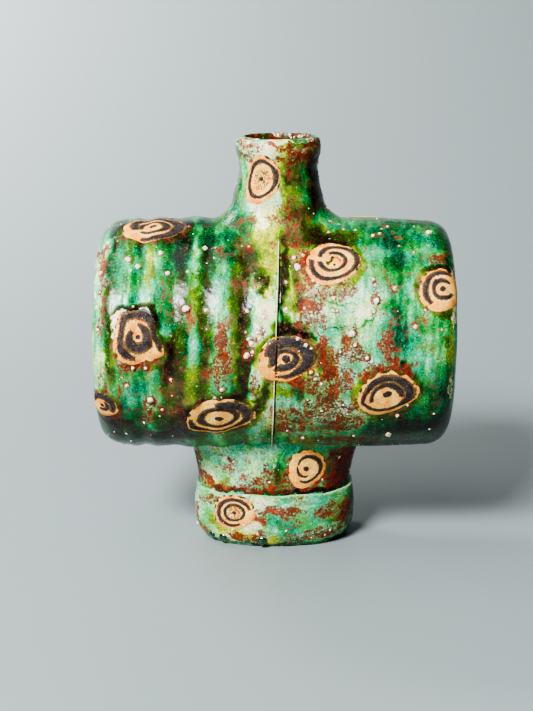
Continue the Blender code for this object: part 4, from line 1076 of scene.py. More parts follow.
band_spots = band_rings()
band_layers = standing_paint(
    band_spots, oval_degrees(band_spots), band_spots[..., 2] / MM, FOOT_MARK_RADIUS, BAND_STREAKS,
    {"depth": BAND_DEPTH, "olive": BAND_OLIVE, "iron": BAND_IRON, "bare": BAND_BARE}, 90)
for layer, given in (("bare", 0.42), ("depth", 0.3)):
    band_layers[layer][:, :len(BAND_EDGE) + 1] = given
band = loft("foot_band", band_spots, band_layers, ends="caps")
band.data.materials.append(glaze_material("band_glaze", COPPER_GLAZE, (0.35, 0.35, 1.1)))
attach(band, "root")
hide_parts("foot_band")

# Roundels. Each is a slice of a rolled-up coil, buff clay with a dark clay rolled into it, pressed into the
# soft vase. They were wiped free of glaze, so they stayed matt and sandy, with glaze run over their edges.

# The roundels off the drum: carrier, share of its height, degrees from the front to the right, then half
# width, half height, thickness and tilt as for the drum's
OTHER_ROUNDELS = {
    "neck": ("neck", 0.53, -24.0, 0.76, 0.92, 1.2, -12), "stem": ("stem", 0.53, 31.0, 0.74, 0.82, 1.2, 15),
    "foot": ("band", 0.66, -38.0, 0.84, 0.72, 1.2, 0), "foot_back": ("band", 0.55, 140.0, 0.72, 0.66, 1.2, 0),
}
DISC_ROUND = 84
DISC_RINGS = 30
DOT_ROUND = 20
ROUNDEL_PROUD = 0.55 * MM
LINE_HEIGHT = 0.16 * MM
# A dark line's wobble is measured in steps of this many degrees along it
WOBBLE_DEGREES = 57

# The dark clay's lines in each roundel, each line a run of (degrees, share of the radius, half width share),
# and the size of the dark dot in the middle
DARK_LINES = {
    "top_left": (
        ((250, 0.84, 0.06), (300, 0.84, 0.12), (350, 0.8, 0.17), (40, 0.76, 0.12), (90, 0.74, 0.09),
         (140, 0.7, 0.1), (175, 0.6, 0.13), (205, 0.56, 0.08)),
        ((225, 0.46, 0.05), (280, 0.44, 0.06), (340, 0.42, 0.09), (20, 0.4, 0.1), (90, 0.4, 0.06),
         (150, 0.38, 0.07), (200, 0.36, 0.04)),
        0.12),
    "left": (
        ((248, 0.76, 0.05), (215, 0.7, 0.11), (180, 0.7, 0.1), (145, 0.7, 0.1), (110, 0.8, 0.12),
         (70, 0.82, 0.15), (40, 0.82, 0.17), (10, 0.8, 0.18), (-15, 0.8, 0.16), (-38, 0.84, 0.06)),
        ((130, 0.3, 0.05), (180, 0.34, 0.12), (225, 0.38, 0.15), (270, 0.4, 0.15), (315, 0.38, 0.15),
         (360, 0.36, 0.15), (405, 0.36, 0.1), (440, 0.42, 0.04)),
        0.09),
    "left_edge": (
        ((160, 0.7, 0.1), (110, 0.7, 0.18), (60, 0.72, 0.18), (10, 0.7, 0.16), (-50, 0.7, 0.1)),
        ((220, 0.34, 0.1), (280, 0.34, 0.1), (340, 0.36, 0.12), (40, 0.36, 0.06)),
        0.14),
    "lower_left": (
        ((172, 0.88, 0.05), (205, 0.84, 0.07), (250, 0.8, 0.05), (300, 0.8, 0.05), (340, 0.8, 0.09),
         (15, 0.78, 0.13), (55, 0.7, 0.15), (90, 0.68, 0.1)),
        ((60, 0.5, 0.07), (120, 0.52, 0.08), (180, 0.55, 0.09), (230, 0.5, 0.07), (290, 0.46, 0.06),
         (350, 0.5, 0.06), (60, 0.5, 0.07)),
        0.13),
    "middle": (
        ((172, 0.6, 0.12), (140, 0.66, 0.18), (90, 0.7, 0.2), (45, 0.74, 0.21), (0, 0.76, 0.2),
         (-40, 0.74, 0.17), (-75, 0.76, 0.09), (-105, 0.78, 0.04)),
        ((215, 0.5, 0.13), (170, 0.44, 0.1), (120, 0.36, 0.07), (60, 0.34, 0.06), (10, 0.34, 0.08),
         (-40, 0.34, 0.12), (-90, 0.36, 0.12), (-130, 0.44, 0.12)),
        0.16),
    "upper_right": (
        ((168, 0.8, 0.07), (215, 0.78, 0.06), (260, 0.76, 0.05), (310, 0.82, 0.05), (350, 0.86, 0.07),
         (30, 0.84, 0.06), (75, 0.7, 0.06), (118, 0.6, 0.08), (150, 0.52, 0.06)),
        ((175, 0.48, 0.07), (215, 0.42, 0.06), (265, 0.42, 0.04), (320, 0.44, 0.05), (10, 0.46, 0.05),
         (60, 0.42, 0.06), (100, 0.38, 0.05)),
        0),
    "right_edge": (
        ((58, 0.82, 0.04), (85, 0.76, 0.08), (120, 0.72, 0.07), (160, 0.7, 0.1), (200, 0.72, 0.09),
         (232, 0.76, 0.04)),
        ((38, 0.42, 0.04), (80, 0.4, 0.08), (130, 0.38, 0.08), (180, 0.36, 0.05), (230, 0.4, 0.06),
         (290, 0.42, 0.08), (335, 0.44, 0.05)),
        0.13),
    "lower_right": (
        ((196, 0.86, 0.04), (160, 0.74, 0.08), (115, 0.68, 0.1), (70, 0.68, 0.11), (20, 0.7, 0.13),
         (-25, 0.74, 0.12), (-65, 0.74, 0.06), (-110, 0.74, 0.05), (-150, 0.8, 0.04), (196, 0.86, 0.04)),
        ((205, 0.58, 0.05), (160, 0.48, 0.05), (110, 0.42, 0.07), (60, 0.4, 0.1), (10, 0.42, 0.1),
         (-25, 0.48, 0.05)),
        0.15),
    "neck": (
        ((60, 0.72, 0.05), (130, 0.74, 0.07), (200, 0.72, 0.08), (270, 0.7, 0.04), (330, 0.74, 0.05),
         (20, 0.76, 0.12), (60, 0.72, 0.05)),
        0.1),
    "stem": (
        ((140, 0.46, 0.03), (100, 0.56, 0.05), (60, 0.66, 0.07), (20, 0.72, 0.08), (-20, 0.74, 0.06),
         (-60, 0.72, 0.05), (-100, 0.7, 0.05), (-130, 0.66, 0.03)),
        ((150, 0.5, 0.03), (190, 0.46, 0.05), (230, 0.42, 0.04), (270, 0.4, 0.03)),
        0.14),
    "foot": (
        ((20, 0.74, 0.05), (90, 0.72, 0.07), (160, 0.74, 0.08), (220, 0.74, 0.06), (290, 0.72, 0.05)),
        ((0, 0.46, 0.05), (70, 0.44, 0.06), (150, 0.44, 0.05), (230, 0.44, 0.05), (300, 0.44, 0.04),
         (0, 0.46, 0.05)),
        0.1),
}
# The dark clay smeared over the middle of two of them, and glaze lying in the middle of one, out to this
# share of the radius
SMOKY_MIDDLES = {"neck": 0.46, "foot": 0.5}
POOLED_MIDDLES = {"upper_right": 0.26}
HIDDEN_ROUNDELS = ("top_right", "back_left", "back_middle", "back_right", "back_lower_left",
                   "back_lower_right", "foot_back")


def rolled_lines(seed):
    """Lines for a roundel that the photograph doesn't show: two rings of a roll, each begun anywhere."""
    draw = np.random.RandomState(seed)
    lines = []
    for radius, width in ((0.74, 0.09), (0.42, 0.08)):
        start, sweep = draw.uniform(0, 360), draw.uniform(250, 340)
        lines.append(tuple(
            (start + sweep * way, radius + draw.uniform(-0.05, 0.05) - 0.06 * way,
             width * draw.uniform(0.5, 1.4) * (1 - 0.5 * abs(2 * way - 1) ** 3))
            for way in np.linspace(0, 1, 8)))
    return (*lines, draw.uniform(0.10, 0.17))
for seed, hidden in enumerate(HIDDEN_ROUNDELS, start=200):
    DARK_LINES[hidden] = rolled_lines(seed)


def drum_skin(share, angle):
    """The drum without its ribs round one place, as (across, up) to points."""
    outlines = []
    for cup in (LEFT_CUP, RIGHT_CUP):
        way = np.linspace(0, 1, 24)[:-1]
        barrel = spots_at(way * cup.barrel, DRUM_RADIUS - cup.taper * way**2)
        outline = np.vstack([barrel, cup.outline[BARREL_STEPS:]])
        outlines.append((cup.side, outline, way_along(outline)))

    def skin(across, up):
        along = share * DRUM_HALF_LENGTH + across
        turn = math.radians(angle) - up / DRUM_RADIUS
        left, right = (
            drum_point(side * np.interp(np.abs(along), lengths, outline[:, 0]),
                       np.interp(np.abs(along), lengths, outline[:, 1]), turn)
            for side, outline, lengths in outlines)
        return np.where((along < 0)[..., None], left, right)

    return skin
def neck_skin(share, angle):
    outline = np.array(NECK_OUTLINE[::-1])

    def skin(across, up):
        radius = np.interp(share + up / NECK_HEIGHT, outline[:, 0], outline[:, 1]) * LIP_RADIUS
        turn = math.radians(angle) + across / LIP_RADIUS
        height = NECK_BASE_Z + share * NECK_HEIGHT + up
        return spots_at(NECK_X + radius * np.sin(turn), -radius * np.cos(turn), height)

    return skin


def foot_skin(low, height):
    """A maker of skins for the stem or the band, an upright oval from one height up."""
    def maker(share, angle):
        middle = math.radians(angle)
        radius = np.linalg.norm(oval(0.0, np.array(middle), np.array(0.0)))

        def skin(across, up):
            return oval(0.0, middle + across / radius, low + share * height + up)

        return skin

    return maker


CARRIERS = {
    "neck": neck_skin, "stem": foot_skin(BAND_RAISE + BAND_HEIGHT, 30 * MM),
    "band": foot_skin(BAND_RAISE, BAND_HEIGHT),
}


def hit_tree(*pieces):
    """What a ray is tried against: the faces of the pieces made so far."""
    corners, faces = [], []
    for piece in pieces:
        start = len(corners)
        corners += [corner.co.copy() for corner in piece.data.vertices]
        faces += [[start + corner for corner in face.vertices] for face in piece.data.polygons]
    return BVHTree.FromPolygons(corners, faces)


VASE_SKIN = hit_tree(left_cup, right_cup, neck, stem, band)
PROBE = 0.4 * MM
RAY_START = 12 * MM
RAY_LENGTH = 30 * MM


def skin_axes(skin, across, up):
    """The skin's directions at a place, each of length 1: across, up, and outward."""
    sideways = skin(across + PROBE, up) - skin(across - PROBE, up)
    upwards = skin(across, up + PROBE) - skin(across, up - PROBE)
    axes = (sideways, upwards, np.cross(sideways, upwards))
    return [axis / np.linalg.norm(axis, axis=-1)[..., None] for axis in axes]


def settled(skin, across, up, lift):
    """Points this far off the glazed surface, sought straight down from the skin."""
    here = skin(across, up)
    outward = skin_axes(skin, across, up)[2]
    lift = np.broadcast_to(lift, here.shape[:-1])
    found = np.empty(here.shape)
    for place in np.ndindex(here.shape[:-1]):
        away = Vector(outward[place])
        hit = VASE_SKIN.ray_cast(Vector(here[place]) + away * RAY_START, -away, RAY_LENGTH)[0]
        found[place] = (hit if hit is not None else Vector(here[place])) + away * float(lift[place])
    return found


class Disc:
    """One roundel: its place, size and tilt, and the lines rolled up in it."""

    def __init__(self, name, seed, skin, half_width, half_height, thickness, tilt):
        self.name = name
        self.seed = seed
        self.skin = skin
        self.half_width = half_width * ROUNDEL_SIZE
        self.half_height = half_height * ROUNDEL_SIZE
        self.thick = thickness > 2
        self.tilt = math.radians(tilt)
        *self.lines, self.dot_size = DARK_LINES[name]

    def flat(self, turn, share):
        """(across, up) of a place on the disc."""
        phase = self.tilt + turn
        reach = share * (1 + 0.05 * share * (np.cos(3 * phase) + np.sin(2 * phase)))
        reach = reach * (1 + share**1.5 * (sagged(self.name, turn) - 1))
        right = self.half_width * reach * np.cos(turn)
        over = self.half_height * reach * np.sin(turn)
        return (right * math.cos(self.tilt) - over * math.sin(self.tilt),
                right * math.sin(self.tilt) + over * math.cos(self.tilt))

    def top(self, turn, share):
        """How far the clay stands off the glazed surface here. The thick disc's middle is a raised lump."""
        across, up = self.flat(turn, share)
        spots = spots_at(across, up, self.seed * 0.07)
        rough = 0.05 * ripple(spots, 4.0 * MM, self.seed)
        rough = rough + (0.035 + 0.065 * self.thick) * ripple(spots, 1.6 * MM, self.seed + 1)
        step = ease(share + 0.10 * np.cos(turn), 0.68, 0.58)
        lumps = (0.3 + 0.5 * ripple(spots, 6 * MM, self.seed + 2) + 0.9 * step) * self.thick
        return ROUNDEL_PROUD * (1 - share**6) + (rough + lumps * (1 - share**4)) * MM

    def sooty(self, turns, share):
        """How close each place is to a dark line, 1 under it and 0 well away, and half dark in the middle."""
        smoky = SMOKY_MIDDLES.get(self.name, 0)
        total = 0.52 * ease(share, smoky + 0.06, smoky - 0.06) * (smoky > 0) + 0 * turns
        for stops in self.lines:
            stops = np.array(stops, float)
            way = np.unwrap(np.radians(stops[:, 0]))
            start, end = min(way[0], way[-1]), max(way[0], way[-1])
            order = np.argsort(way)
            for lap in (-2, -1, 0, 1, 2):
                turn = turns + lap * 2 * math.pi
                middle, half = (np.interp(turn, way[order], stops[order, i]) for i in (1, 2))
                off = np.abs(share - middle) / (half + 0.01)
                inside = (turn > start - 0.05) & (turn < end + 0.05)
                total = np.maximum(total, ease(off, 1.9, 0.9) * inside)
        return total

    def clay(self, name):
        """The buff clay: its top with the paint for glaze, tone and soot, and its rim down to the vase."""
        turns = full_turn(DISC_ROUND)[None, :]
        share = np.linspace(0.02, 1, DISC_RINGS)[:, None] ** 0.9
        around = spots_at(np.cos(turns), np.sin(turns), 0)
        ragged = 0.03 * ripple(around, 0.9, self.seed + 3) + 0.015 * ripple(around, 0.3, self.seed + 4)
        across, up = self.flat(turns, share * (1 + ragged * share**2))
        top = settled(self.skin, across, up, self.top(turns, share))
        edge = settled(self.skin, across[-1:] * 1.01, up[-1:] * 1.01, -0.25 * MM)
        under = settled(self.skin, across[::-10], up[::-10], -0.6 * MM)
        low = np.broadcast_to(up / self.half_height, share.shape[:1] + turns.shape[1:])
        wash = ease(share, 0.74, 1.08) * (0.5 + 0.35 * low + 0.5 * ripple(top, 5 * MM, self.seed + 5))
        pooled = POOLED_MIDDLES.get(self.name, 0)
        pool = ease(share, pooled + 0.16, pooled - 0.14) * (0.5 + 0.4 * ripple(top, 3 * MM, self.seed + 7))
        wash = np.maximum(wash, pool * (pooled > 0))
        tone = 0.5 + 0.3 * ripple(top, 8 * MM, self.seed + 6) + 0.2 * ease(share, 0.5, 1.0)
        rim = np.ones((len(edge) + len(under), DISC_ROUND))
        layers = {"wash": np.vstack([wash, rim]), "tone": np.vstack([tone, rim]),
                  "soot": np.vstack([self.sooty(turns, share), 0 * rim])}
        return loft(name, np.concatenate([top, edge, under]), layers)

    def line(self, stops, seed):
        """One dark line of the roll, as a closed skin: a low, uneven ridge tapering at both ends."""
        stops = np.array(stops, float)
        turns = np.degrees(np.unwrap(np.radians(stops[:, 0])))
        way = np.concatenate(([0], np.cumsum(np.abs(np.diff(turns)) + 60 * np.abs(np.diff(stops[:, 1])))))
        even = np.linspace(0, way[-1], max(int(way[-1] / 5), 12))
        turn, share, half = (np.interp(even, way, values) for values in (turns, stops[:, 1], stops[:, 2]))
        share, half = softened(share, 4), softened(half, 4)
        closed = abs(abs(turns[-1] - turns[0]) - 360) < 1
        taper = 1.0 if closed else ease(np.minimum(even, even[-1] - even), -8, 14)
        step = spots_at(even / WOBBLE_DEGREES, 0, seed)
        side = np.array((-1.0, -0.86, -0.5, 0.0, 0.5, 0.86, 1.0))
        inner, outer = (
            0.22 * ripple(step, 1.3, seed + i)[:, None] + 0.10 * ripple(step, 0.35, seed + 2 + i)[:, None]
            for i in (0, 1))
        wobble = np.where(side[None, :] < 0, inner, outer)
        shares = share[:, None] + half[:, None] * np.reshape(taper, (-1, 1)) * side * (1 + wobble)
        turn = np.radians(turn)[:, None] + 0 * shares
        shares = np.clip(shares, 0.03, 0.985)
        across, up = self.flat(turn, shares)
        height = LINE_HEIGHT * (1 - side**4) - 0.03 * MM + self.top(turn, shares)
        top = settled(self.skin, across, up, height)
        low = settled(self.skin, across[:, 5:0:-2], up[:, 5:0:-2], -0.1 * MM)
        rings = np.concatenate([top, low], axis=1)
        if closed:
            rings = rings[:-1]
        spots = np.concatenate([ripple(top, 4 * MM, seed + 2), np.zeros(low.shape[:2])], axis=1)[:len(rings)]
        layers = {"wash": 0 * spots, "tone": 0.5 + 0.3 * spots, "soot": 0 * spots}
        return hull(rings, layers, "loop" if closed else "caps")

    def dot(self, seed):
        """The end of the roll in the disc's middle, a low dark dot."""
        turns = full_turn(DOT_ROUND)[None, :]
        share = self.dot_size * np.array((0.2, 0.5, 0.75, 0.92, 1.0))[:, None]
        share = share * (1 + 0.12 * np.sin(turns * 2 + seed) + 0.07 * np.sin(turns * 5 + seed))
        turns = turns + 0 * share
        across, up = self.flat(turns, share)
        height = LINE_HEIGHT * (1 - (share / self.dot_size / 1.1) ** 4) + self.top(turns, share)
        top = settled(self.skin, across, up, height)
        low = settled(self.skin, across[::-3], up[::-3], -0.1 * MM)
        rings = np.concatenate([top, low])
        plain = np.zeros(rings.shape[:2])
        return hull(rings, {"wash": plain, "tone": plain + 0.4, "soot": plain})


# Colours of the clays, as they look on a screen: pale and burnt specks, soot, and thin glaze by its noise
PALE_SAND, BURNT_SAND, SOOT = (painted(color) for color in (
    (0.97, 0.90, 0.76), (0.34, 0.17, 0.09), (0.13, 0.085, 0.08)))
THIN_GLAZE = ((0.2, (0.55, 0.45, 0.05)), (0.5, (0.24, 0.20, 0.02)), (0.8, (0.10, 0.06, 0.02)))
def clay_group():
    """A bare, sandy clay: two colours, a tone and a wash of thin glaze in; colour, roughness, height out."""
    clay, given, result = node_group(
        "sandy_clay", "ShaderNodeTree", (("Color", "Light, Deep"), ("Float", "Tone, Wash, Soot, Specks")),
        (("Color", "Color"), ("Float", "Roughness, Height")))
    where = clay.place()
    sand = clay.noise(where, 0.55 * MM, 3.0, 0.7)
    blotch = clay.noise(where, 2.4 * MM, 3.0, 0.6, 0.4)
    tone = clay.jittered(clay.jittered(given["Tone"], sand, 2.6), blotch, 1.1, clamp=True)
    color = clay.mix(tone, given["Light"], given["Deep"])
    pale = clay.band(clay.noise(where, 0.45 * MM, 2.0, 0.8), 0.58, 0.68)
    color = clay.mix(clay.math("MULTIPLY", pale, given["Specks"]), color, PALE_SAND)
    burnt = clay.band(clay.noise(where, 0.8 * MM, 3.0, 0.8), 0.40, 0.30)
    color = clay.mix(clay.math("MULTIPLY", burnt, 0.75), color, BURNT_SAND)
    soot = clay.band(clay.jittered(given["Soot"], sand, 2.2), 0.42, 0.62)
    color = clay.mix(clay.math("MULTIPLY", soot, 0.85), color, SOOT)
    run = clay.band(clay.jittered(given["Wash"], blotch, 0.9), 0.42, 0.62)
    clay.feed(result["Color"], clay.mix(run, color, clay.ramp(sand, THIN_GLAZE)))
    clay.feed(result["Roughness"], clay.band(run, 0.0, 1.0, 0.82, 0.2))
    clay.feed(result["Height"], clay.math("ADD", sand, clay.math("MULTIPLY", blotch, 0.6)))
    return clay.tree


def clay_material(name, light, deep, specks):
    material, clay, shader = new_material(name)
    mixed = clay.node("ShaderNodeGroup", {
        "Light": painted(light), "Deep": painted(deep), "Specks": specks, "Tone": clay.layer("tone"),
        "Wash": clay.layer("wash"), "Soot": clay.layer("soot")}, node_tree=SANDY_CLAY)
    clay.feed(shader["Base Color"], mixed.outputs["Color"])
    clay.feed(shader["Roughness"], mixed.outputs["Roughness"])
    clay.bump(shader, mixed.outputs["Height"], 0.7, 0.4 * MM)
    return material


SANDY_CLAY = clay_group()
buff_clay = clay_material("buff_clay", (1.00, 0.82, 0.44), (0.92, 0.54, 0.19), 0.5)
dark_clay = clay_material("dark_clay", (0.26, 0.20, 0.20), (0.05, 0.035, 0.04), 0.16)

for number, (name, row) in enumerate({**DRUM_ROUNDELS, **OTHER_ROUNDELS}.items()):
    if name in DRUM_ROUNDELS:
        share, angle, *shape = row
        skin = drum_skin(share, angle)
    else:
        carrier, share, angle, *shape = row
        skin = CARRIERS[carrier](share, angle)
    disc = Disc(name, 300 + 10 * number, skin, *shape)
    roundel = disc.clay(f"clay_roundel_{name}")
    roundel.data.materials.append(buff_clay)
    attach(roundel, "root")
    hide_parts(f"roundel_{name}")
    hulls = [disc.line(stops, disc.seed + 5 + i) for i, stops in enumerate(disc.lines)]
    if disc.dot_size:
        hulls.append(disc.dot(number))
    rolled = joined(f"dark_roll_{name}", hulls)
    rolled.data.materials.append(dark_clay)
    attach(rolled, "root")
    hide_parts(f"dark_coil_{name}")
# Beads of glaze on the foot's lower edge, where the runs gathered in the firing and froze as dark drops.


LUMP_RINGS = 11
LUMP_ROUND = 28


def lump(skin, size, height, seed, rough=0.0, sink=0.5):
    """Rings of a rounded lump on the skin's own place, from its top to its underside, sink mm below."""
    bend = np.linspace(0.12, math.pi * 0.62, LUMP_RINGS)[:, None]
    turns = full_turn(LUMP_ROUND)[None, :]
    around = spots_at(np.sin(bend) * np.cos(turns), np.sin(bend) * np.sin(turns), np.cos(bend) + 0.37 * seed)
    knobbly = 1 + rough * (ripple(around, 1.3, 90) + 0.5 * ripple(around, 0.5, 91))
    reach = np.sin(bend) * size * (1 + 0.08 * np.sin(2 * turns + seed) + 0.06 * np.sin(3 * turns + 2 * seed))
    reach = reach * knobbly
    lift = (np.cos(bend) * height * knobbly).clip(-sink * MM, None)
    middle = np.array([0.0])
    right, over, outward = (axis[0] for axis in skin_axes(skin, middle, middle))
    base = settled(skin, middle, middle, 0.0)[0]
    sideways = reach * np.cos(turns)
    upwards = reach * np.sin(turns)
    return base + sideways[..., None] * right + upwards[..., None] * over + lift[..., None] * outward


BEAD_SIZE = 3.0 * MM
BEAD_HEIGHT = 1.9 * MM
bead, bead_nodes, bead_shader = new_material("glaze_bead")
bead_nodes.feed(bead_shader["Base Color"], bead_nodes.ramp(
    bead_nodes.noise(bead_nodes.place(), 1.6 * MM, 3.0, 0.6),
    ((0.3, (0.02, 0.10, 0.05)), (0.55, (0.05, 0.24, 0.13)), (0.75, (0.16, 0.12, 0.03)))))
bead_shader["Roughness"].default_value = 0.08
bead_shader["Coat Weight"].default_value = 1.0
# The beads, each: name, degrees from the front to the right, size share
BEADS = (("front", -12.5, 1.0), ("left", -50, 0.85), ("far_left", -61, 0.7))
for number, (name, angle, share) in enumerate(BEADS):
    skin = CARRIERS["band"](0.14, angle)
    drop = loft(f"bead_{name}", lump(skin, BEAD_SIZE * share, BEAD_HEIGHT * share, number, sink=1.2))
    drop.data.materials.append(bead)
    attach(drop, "root")
    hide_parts(f"drip_{name}")
# White grit. Grains of feldspar from the clay swelled out through the glaze and stand on it as pale lumps.

GRIT_SIZE = 1.5 * MM
GRIT_HEIGHT = 1.15 * MM
grit, grit_nodes, grit_shader = new_material("white_grit")
grit_grain = grit_nodes.noise(grit_nodes.place(), 0.6 * MM, 3.0, 0.7)
grit_tint = grit_nodes.noise(grit_nodes.place(), 3 * MM, 2.0)
grit_color = grit_nodes.ramp(
    grit_nodes.math("ADD", grit_nodes.math("MULTIPLY", grit_grain, 0.6),
                    grit_nodes.math("MULTIPLY", grit_tint, 0.4)),
    ((0.34, (0.50, 0.36, 0.26)), (0.44, (0.86, 0.80, 0.70)), (0.62, (0.98, 0.96, 0.90))))
grit_nodes.feed(grit_shader["Base Color"], grit_color)
grit_nodes.feed(grit_shader["Roughness"], grit_nodes.band(grit_grain, 0.3, 0.7, 0.25, 0.6))
grit_nodes.bump(grit_shader, grit_grain, 0.6, 0.3 * MM)
# The largest grains, each: share along the drum, degrees from the crown, size share
LARGE_GRAINS = (
    (-0.460, 66.0, 1.25), (-0.767, 40.3, 1.05), (-0.716, 44.0, 1.00), (-0.375, 33.3, 0.85),
    (-0.089, 75.0, 1.25), (-0.602, 36.5, 0.85), (-0.560, 48.0, 0.90), (-0.643, 110.4, 1.05),
    (0.107, 45.5, 1.15), (0.396, 77.5, 1.25), (0.522, 62.1, 1.05), (0.619, 137.0, 1.05),
    (0.823, 18.2, 1.05),
)
for number, (share, angle, size) in enumerate(LARGE_GRAINS, start=1):
    rings = lump(drum_skin(share, angle), GRIT_SIZE * size, GRIT_HEIGHT * size, number, 0.2)
    grain = loft(f"large_grain_{number:02d}", rings)
    grain.data.materials.append(grit)
    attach(grain, "root")
    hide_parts(f"grit_{number:02d}")


def grain_tree():
    """Geometry nodes that put a lumpy grain at every point, turned to its normal and sized by its size."""
    net, given, result = node_group(
        "scattered_grains", "GeometryNodeTree",
        (("Geometry", "Geometry"), ("Float", "Grain Radius, Lump Size")), (("Geometry", "Geometry"),))
    ball = net.node("GeometryNodeMeshUVSphere", {"Segments": 8, "Rings": 5, "Radius": given["Grain Radius"]})
    size, facing = (
        net.node("GeometryNodeInputNamedAttribute", {"Name": name}, data_type=kind).outputs["Attribute"]
        for name, kind in (("size", "FLOAT"), ("facing", "FLOAT_VECTOR")))
    turned = net.node("FunctionNodeAlignRotationToVector", {"Vector": facing}, axis="Z")
    spin = net.node("FunctionNodeRandomValue", {"Max": 6.28, "Seed": 7}, data_type="FLOAT")
    around = net.node("FunctionNodeAxisAngleToRotation", {"Angle": spin.outputs["Value"]})
    spun = net.node("FunctionNodeRotateRotation", {
        "Rotation": turned.outputs["Rotation"], "Rotate By": around.outputs["Rotation"]},
        rotation_space="LOCAL")
    each = net.node("FunctionNodeRandomValue", {
        "Min": (0.6, 0.7, 0.5), "Max": (1.2, 1.3, 0.9), "Seed": 11}, data_type="FLOAT_VECTOR")
    scaled = net.node("ShaderNodeVectorMath", {0: each.outputs["Value"], "Scale": size}, operation="SCALE")
    placed = net.node("GeometryNodeInstanceOnPoints", {
        "Points": given["Geometry"], "Instance": ball.outputs["Mesh"], "Rotation": spun.outputs["Rotation"],
        "Scale": scaled.outputs[0]})
    real = net.node("GeometryNodeRealizeInstances", {"Geometry": placed.outputs["Instances"]})
    noise = net.node("ShaderNodeTexNoise", {"Scale": 700.0, "Detail": 1.0})
    centred = net.node("ShaderNodeVectorMath", {0: noise.outputs["Color"], 1: (0.5, 0.5, 0.5)},
                       operation="SUBTRACT")
    pushed = net.node("ShaderNodeVectorMath", {0: centred.outputs[0], "Scale": given["Lump Size"]},
                      operation="SCALE")
    lumpy = net.node("GeometryNodeSetPosition", {
        "Geometry": real.outputs["Geometry"], "Offset": pushed.outputs[0]})
    smooth = net.node("GeometryNodeSetShadeSmooth", {"Geometry": lumpy.outputs["Geometry"]})
    finish = net.node("GeometryNodeSetMaterial", {"Geometry": smooth.outputs["Geometry"], "Material": grit})
    net.feed(result["Geometry"], finish.outputs["Geometry"])
    return net.tree
def small_grains():
    """Places, facings and sizes of the small grains: those noted on the front, and chance ones besides."""
    draw = np.random.RandomState(41)
    places = [(drum_skin(x * MM / DRUM_HALF_LENGTH, angle), size) for x, angle, size in GRAIN_PLACES]
    places += [(drum_skin(draw.uniform(-0.93, 0.93), draw.uniform(185, 345)), draw.uniform(0.45, 1.1))
               for _ in range(90)]
    places += [(drum_skin(draw.uniform(-0.93, 0.93), draw.uniform(-8, 165)), draw.uniform(0.25, 0.5))
               for _ in range(110)]
    places += [(neck_skin(draw.uniform(0.1, 0.95), draw.uniform(-180, 180)), draw.uniform(0.3, 0.7))
               for _ in range(26)]
    for skin in (CARRIERS["stem"], CARRIERS["band"]):
        places += [(skin(draw.uniform(0.15, 0.9), draw.uniform(-180, 180)), draw.uniform(0.35, 0.9))
                   for _ in range(26)]
    spots, facings, sizes = [], [], []
    for skin, size in places:
        middle = np.array([0.0])
        low, high = (settled(skin, middle, middle, lift)[0] for lift in (0.1 * MM, 1.1 * MM))
        spots.append(low)
        facings.append((high - low) / MM)
        sizes.append(size)
    return np.array(spots), np.array(facings), np.array(sizes)


grain_spots, grain_facings, grain_sizes = small_grains()
small_grit = made_mesh("small_grit", grain_spots, [], {"size": grain_sizes})
small_grit.data.attributes.new("facing", "FLOAT_VECTOR", "POINT").data.foreach_set(
    "vector", grain_facings.astype(np.float32).ravel())
scatter = small_grit.modifiers.new("grains", "NODES")
scatter.node_group = grain_tree()
for item in scatter.node_group.interface.items_tree:
    if item.name == "Grain Radius":
        scatter[item.identifier] = 1.0 * MM
    if item.name == "Lump Size":
        scatter[item.identifier] = 1.5 * MM
plain = evaluated(small_grit)
small_grit.modifiers.clear()
small_grit.data = plain
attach(small_grit, "root")

# Floor and light: one pale sweep that rises far behind the vase, a row of tall windows in front and to the
# left, and soft light from above.

SWEEP_FRONT = 6.0
SWEEP_BEND = 0.3
SWEEP_RISE = 2.0
SWEEP_HALF_WIDTH = 7.0
sweep_way = np.linspace(0, 1, 60)
sweep_turn = (sweep_way - 0.5) * math.pi
sweep_y = np.where(sweep_way < 0.5, -SWEEP_FRONT + sweep_way * 2 * (SWEEP_FRONT + SWEEP_BEND),
                   SWEEP_BEND + SWEEP_RISE * np.sin(sweep_turn))
sweep_z = np.where(sweep_way < 0.5, 0.0, SWEEP_RISE * (1 - np.cos(sweep_turn)))
sweep_x = np.linspace(-SWEEP_HALF_WIDTH, SWEEP_HALF_WIDTH, 30)
sweep_rings = spots_at(sweep_x[None, :], sweep_y[:, None], sweep_z[:, None])
index = np.arange(len(sweep_way) * len(sweep_x)).reshape(len(sweep_way), len(sweep_x))
sweep_faces = np.stack([index[:-1, :-1], index[:-1, 1:], index[1:, 1:], index[1:, :-1]], axis=-1)
sweep = made_mesh("floor_sweep", sweep_rings.reshape(-1, 3), sweep_faces.reshape(-1, 4).tolist())
paper, paper_nodes, paper_shader = new_material("pale_paper")
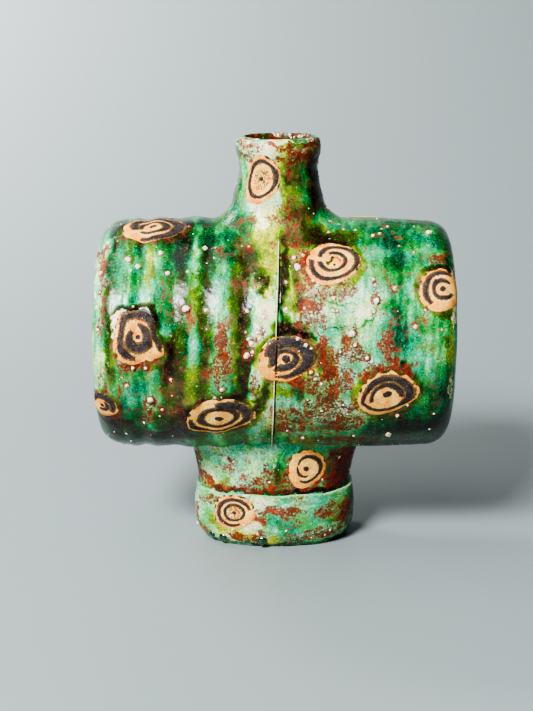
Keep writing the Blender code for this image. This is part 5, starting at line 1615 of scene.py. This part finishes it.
paper_nodes.feed(paper_shader["Base Color"], paper_nodes.mix(
    paper_nodes.noise(paper_nodes.place(), 0.6), painted((0.55, 0.578, 0.58)), painted((0.57, 0.597, 0.594))))
paper_shader["Roughness"].default_value = 0.5
sweep.data.materials.append(paper)


def soft_light(name, place, aim, width, height, watts, color):
    lamp = bpy.data.lights.new(name, "AREA")
    lamp.shape = "RECTANGLE"
    lamp.size, lamp.size_y = width, height
    lamp.energy = watts
    lamp.color = color
    light = bpy.data.objects.new(name, lamp)
    light.location = place
    light.rotation_euler = (Vector(aim) - Vector(place)).to_track_quat("-Z", "Y").to_euler()
    bpy.context.collection.objects.link(light)


soft_light("windows", place=(-1.0, -1.6, 1.65), aim=(0, 0, 0.12), width=0.8, height=0.5, watts=125,
           color=(0.92, 0.97, 1.0))
soft_light("sky", place=(-1.0, -0.2, 2.6), aim=(0, 0, 0.1), width=2.0, height=2.0, watts=24,
           color=(1.0, 0.99, 0.97))
soft_light("front", place=(-0.5, -2.6, 0.9), aim=(0, 0, 0.12), width=2.0, height=1.0, watts=2,
           color=(1.0, 0.98, 0.95))
soft_light("far_wall", place=(-1.15, 0.9, 1.1), aim=(-0.8, 1.7, 0.2), width=0.6, height=0.6, watts=43,
           color=(1.0, 1.0, 1.0))
world = bpy.data.worlds.new("room")
bpy.context.scene.world = world
world.use_nodes = True
background = world.node_tree.nodes["Background"].inputs
background["Color"].default_value = (0.62, 0.68, 0.75, 1.0)
background["Strength"].default_value = 0.08

# Camera: a little above the vase, as the photograph was taken.

lens = bpy.data.cameras.new("camera")
camera = bpy.data.objects.new("camera", lens)
bpy.context.collection.objects.link(camera)
camera.location = (0, -CAMERA_BACK, CAMERA_HEIGHT)
camera.rotation_euler = (math.radians(90) - CAMERA_DOWN, 0, 0)
lens.sensor_fit = "VERTICAL"
lens.sensor_height = 36
lens.lens = lens.sensor_height * PHOTO_LENS / PHOTO_HEIGHT
lens.shift_x = (PHOTO_WIDTH / 2 - PHOTO_MIDDLE) / PHOTO_HEIGHT
bpy.context.scene.camera = camera
bpy.context.scene.view_settings.look = "AgX - High Contrast"
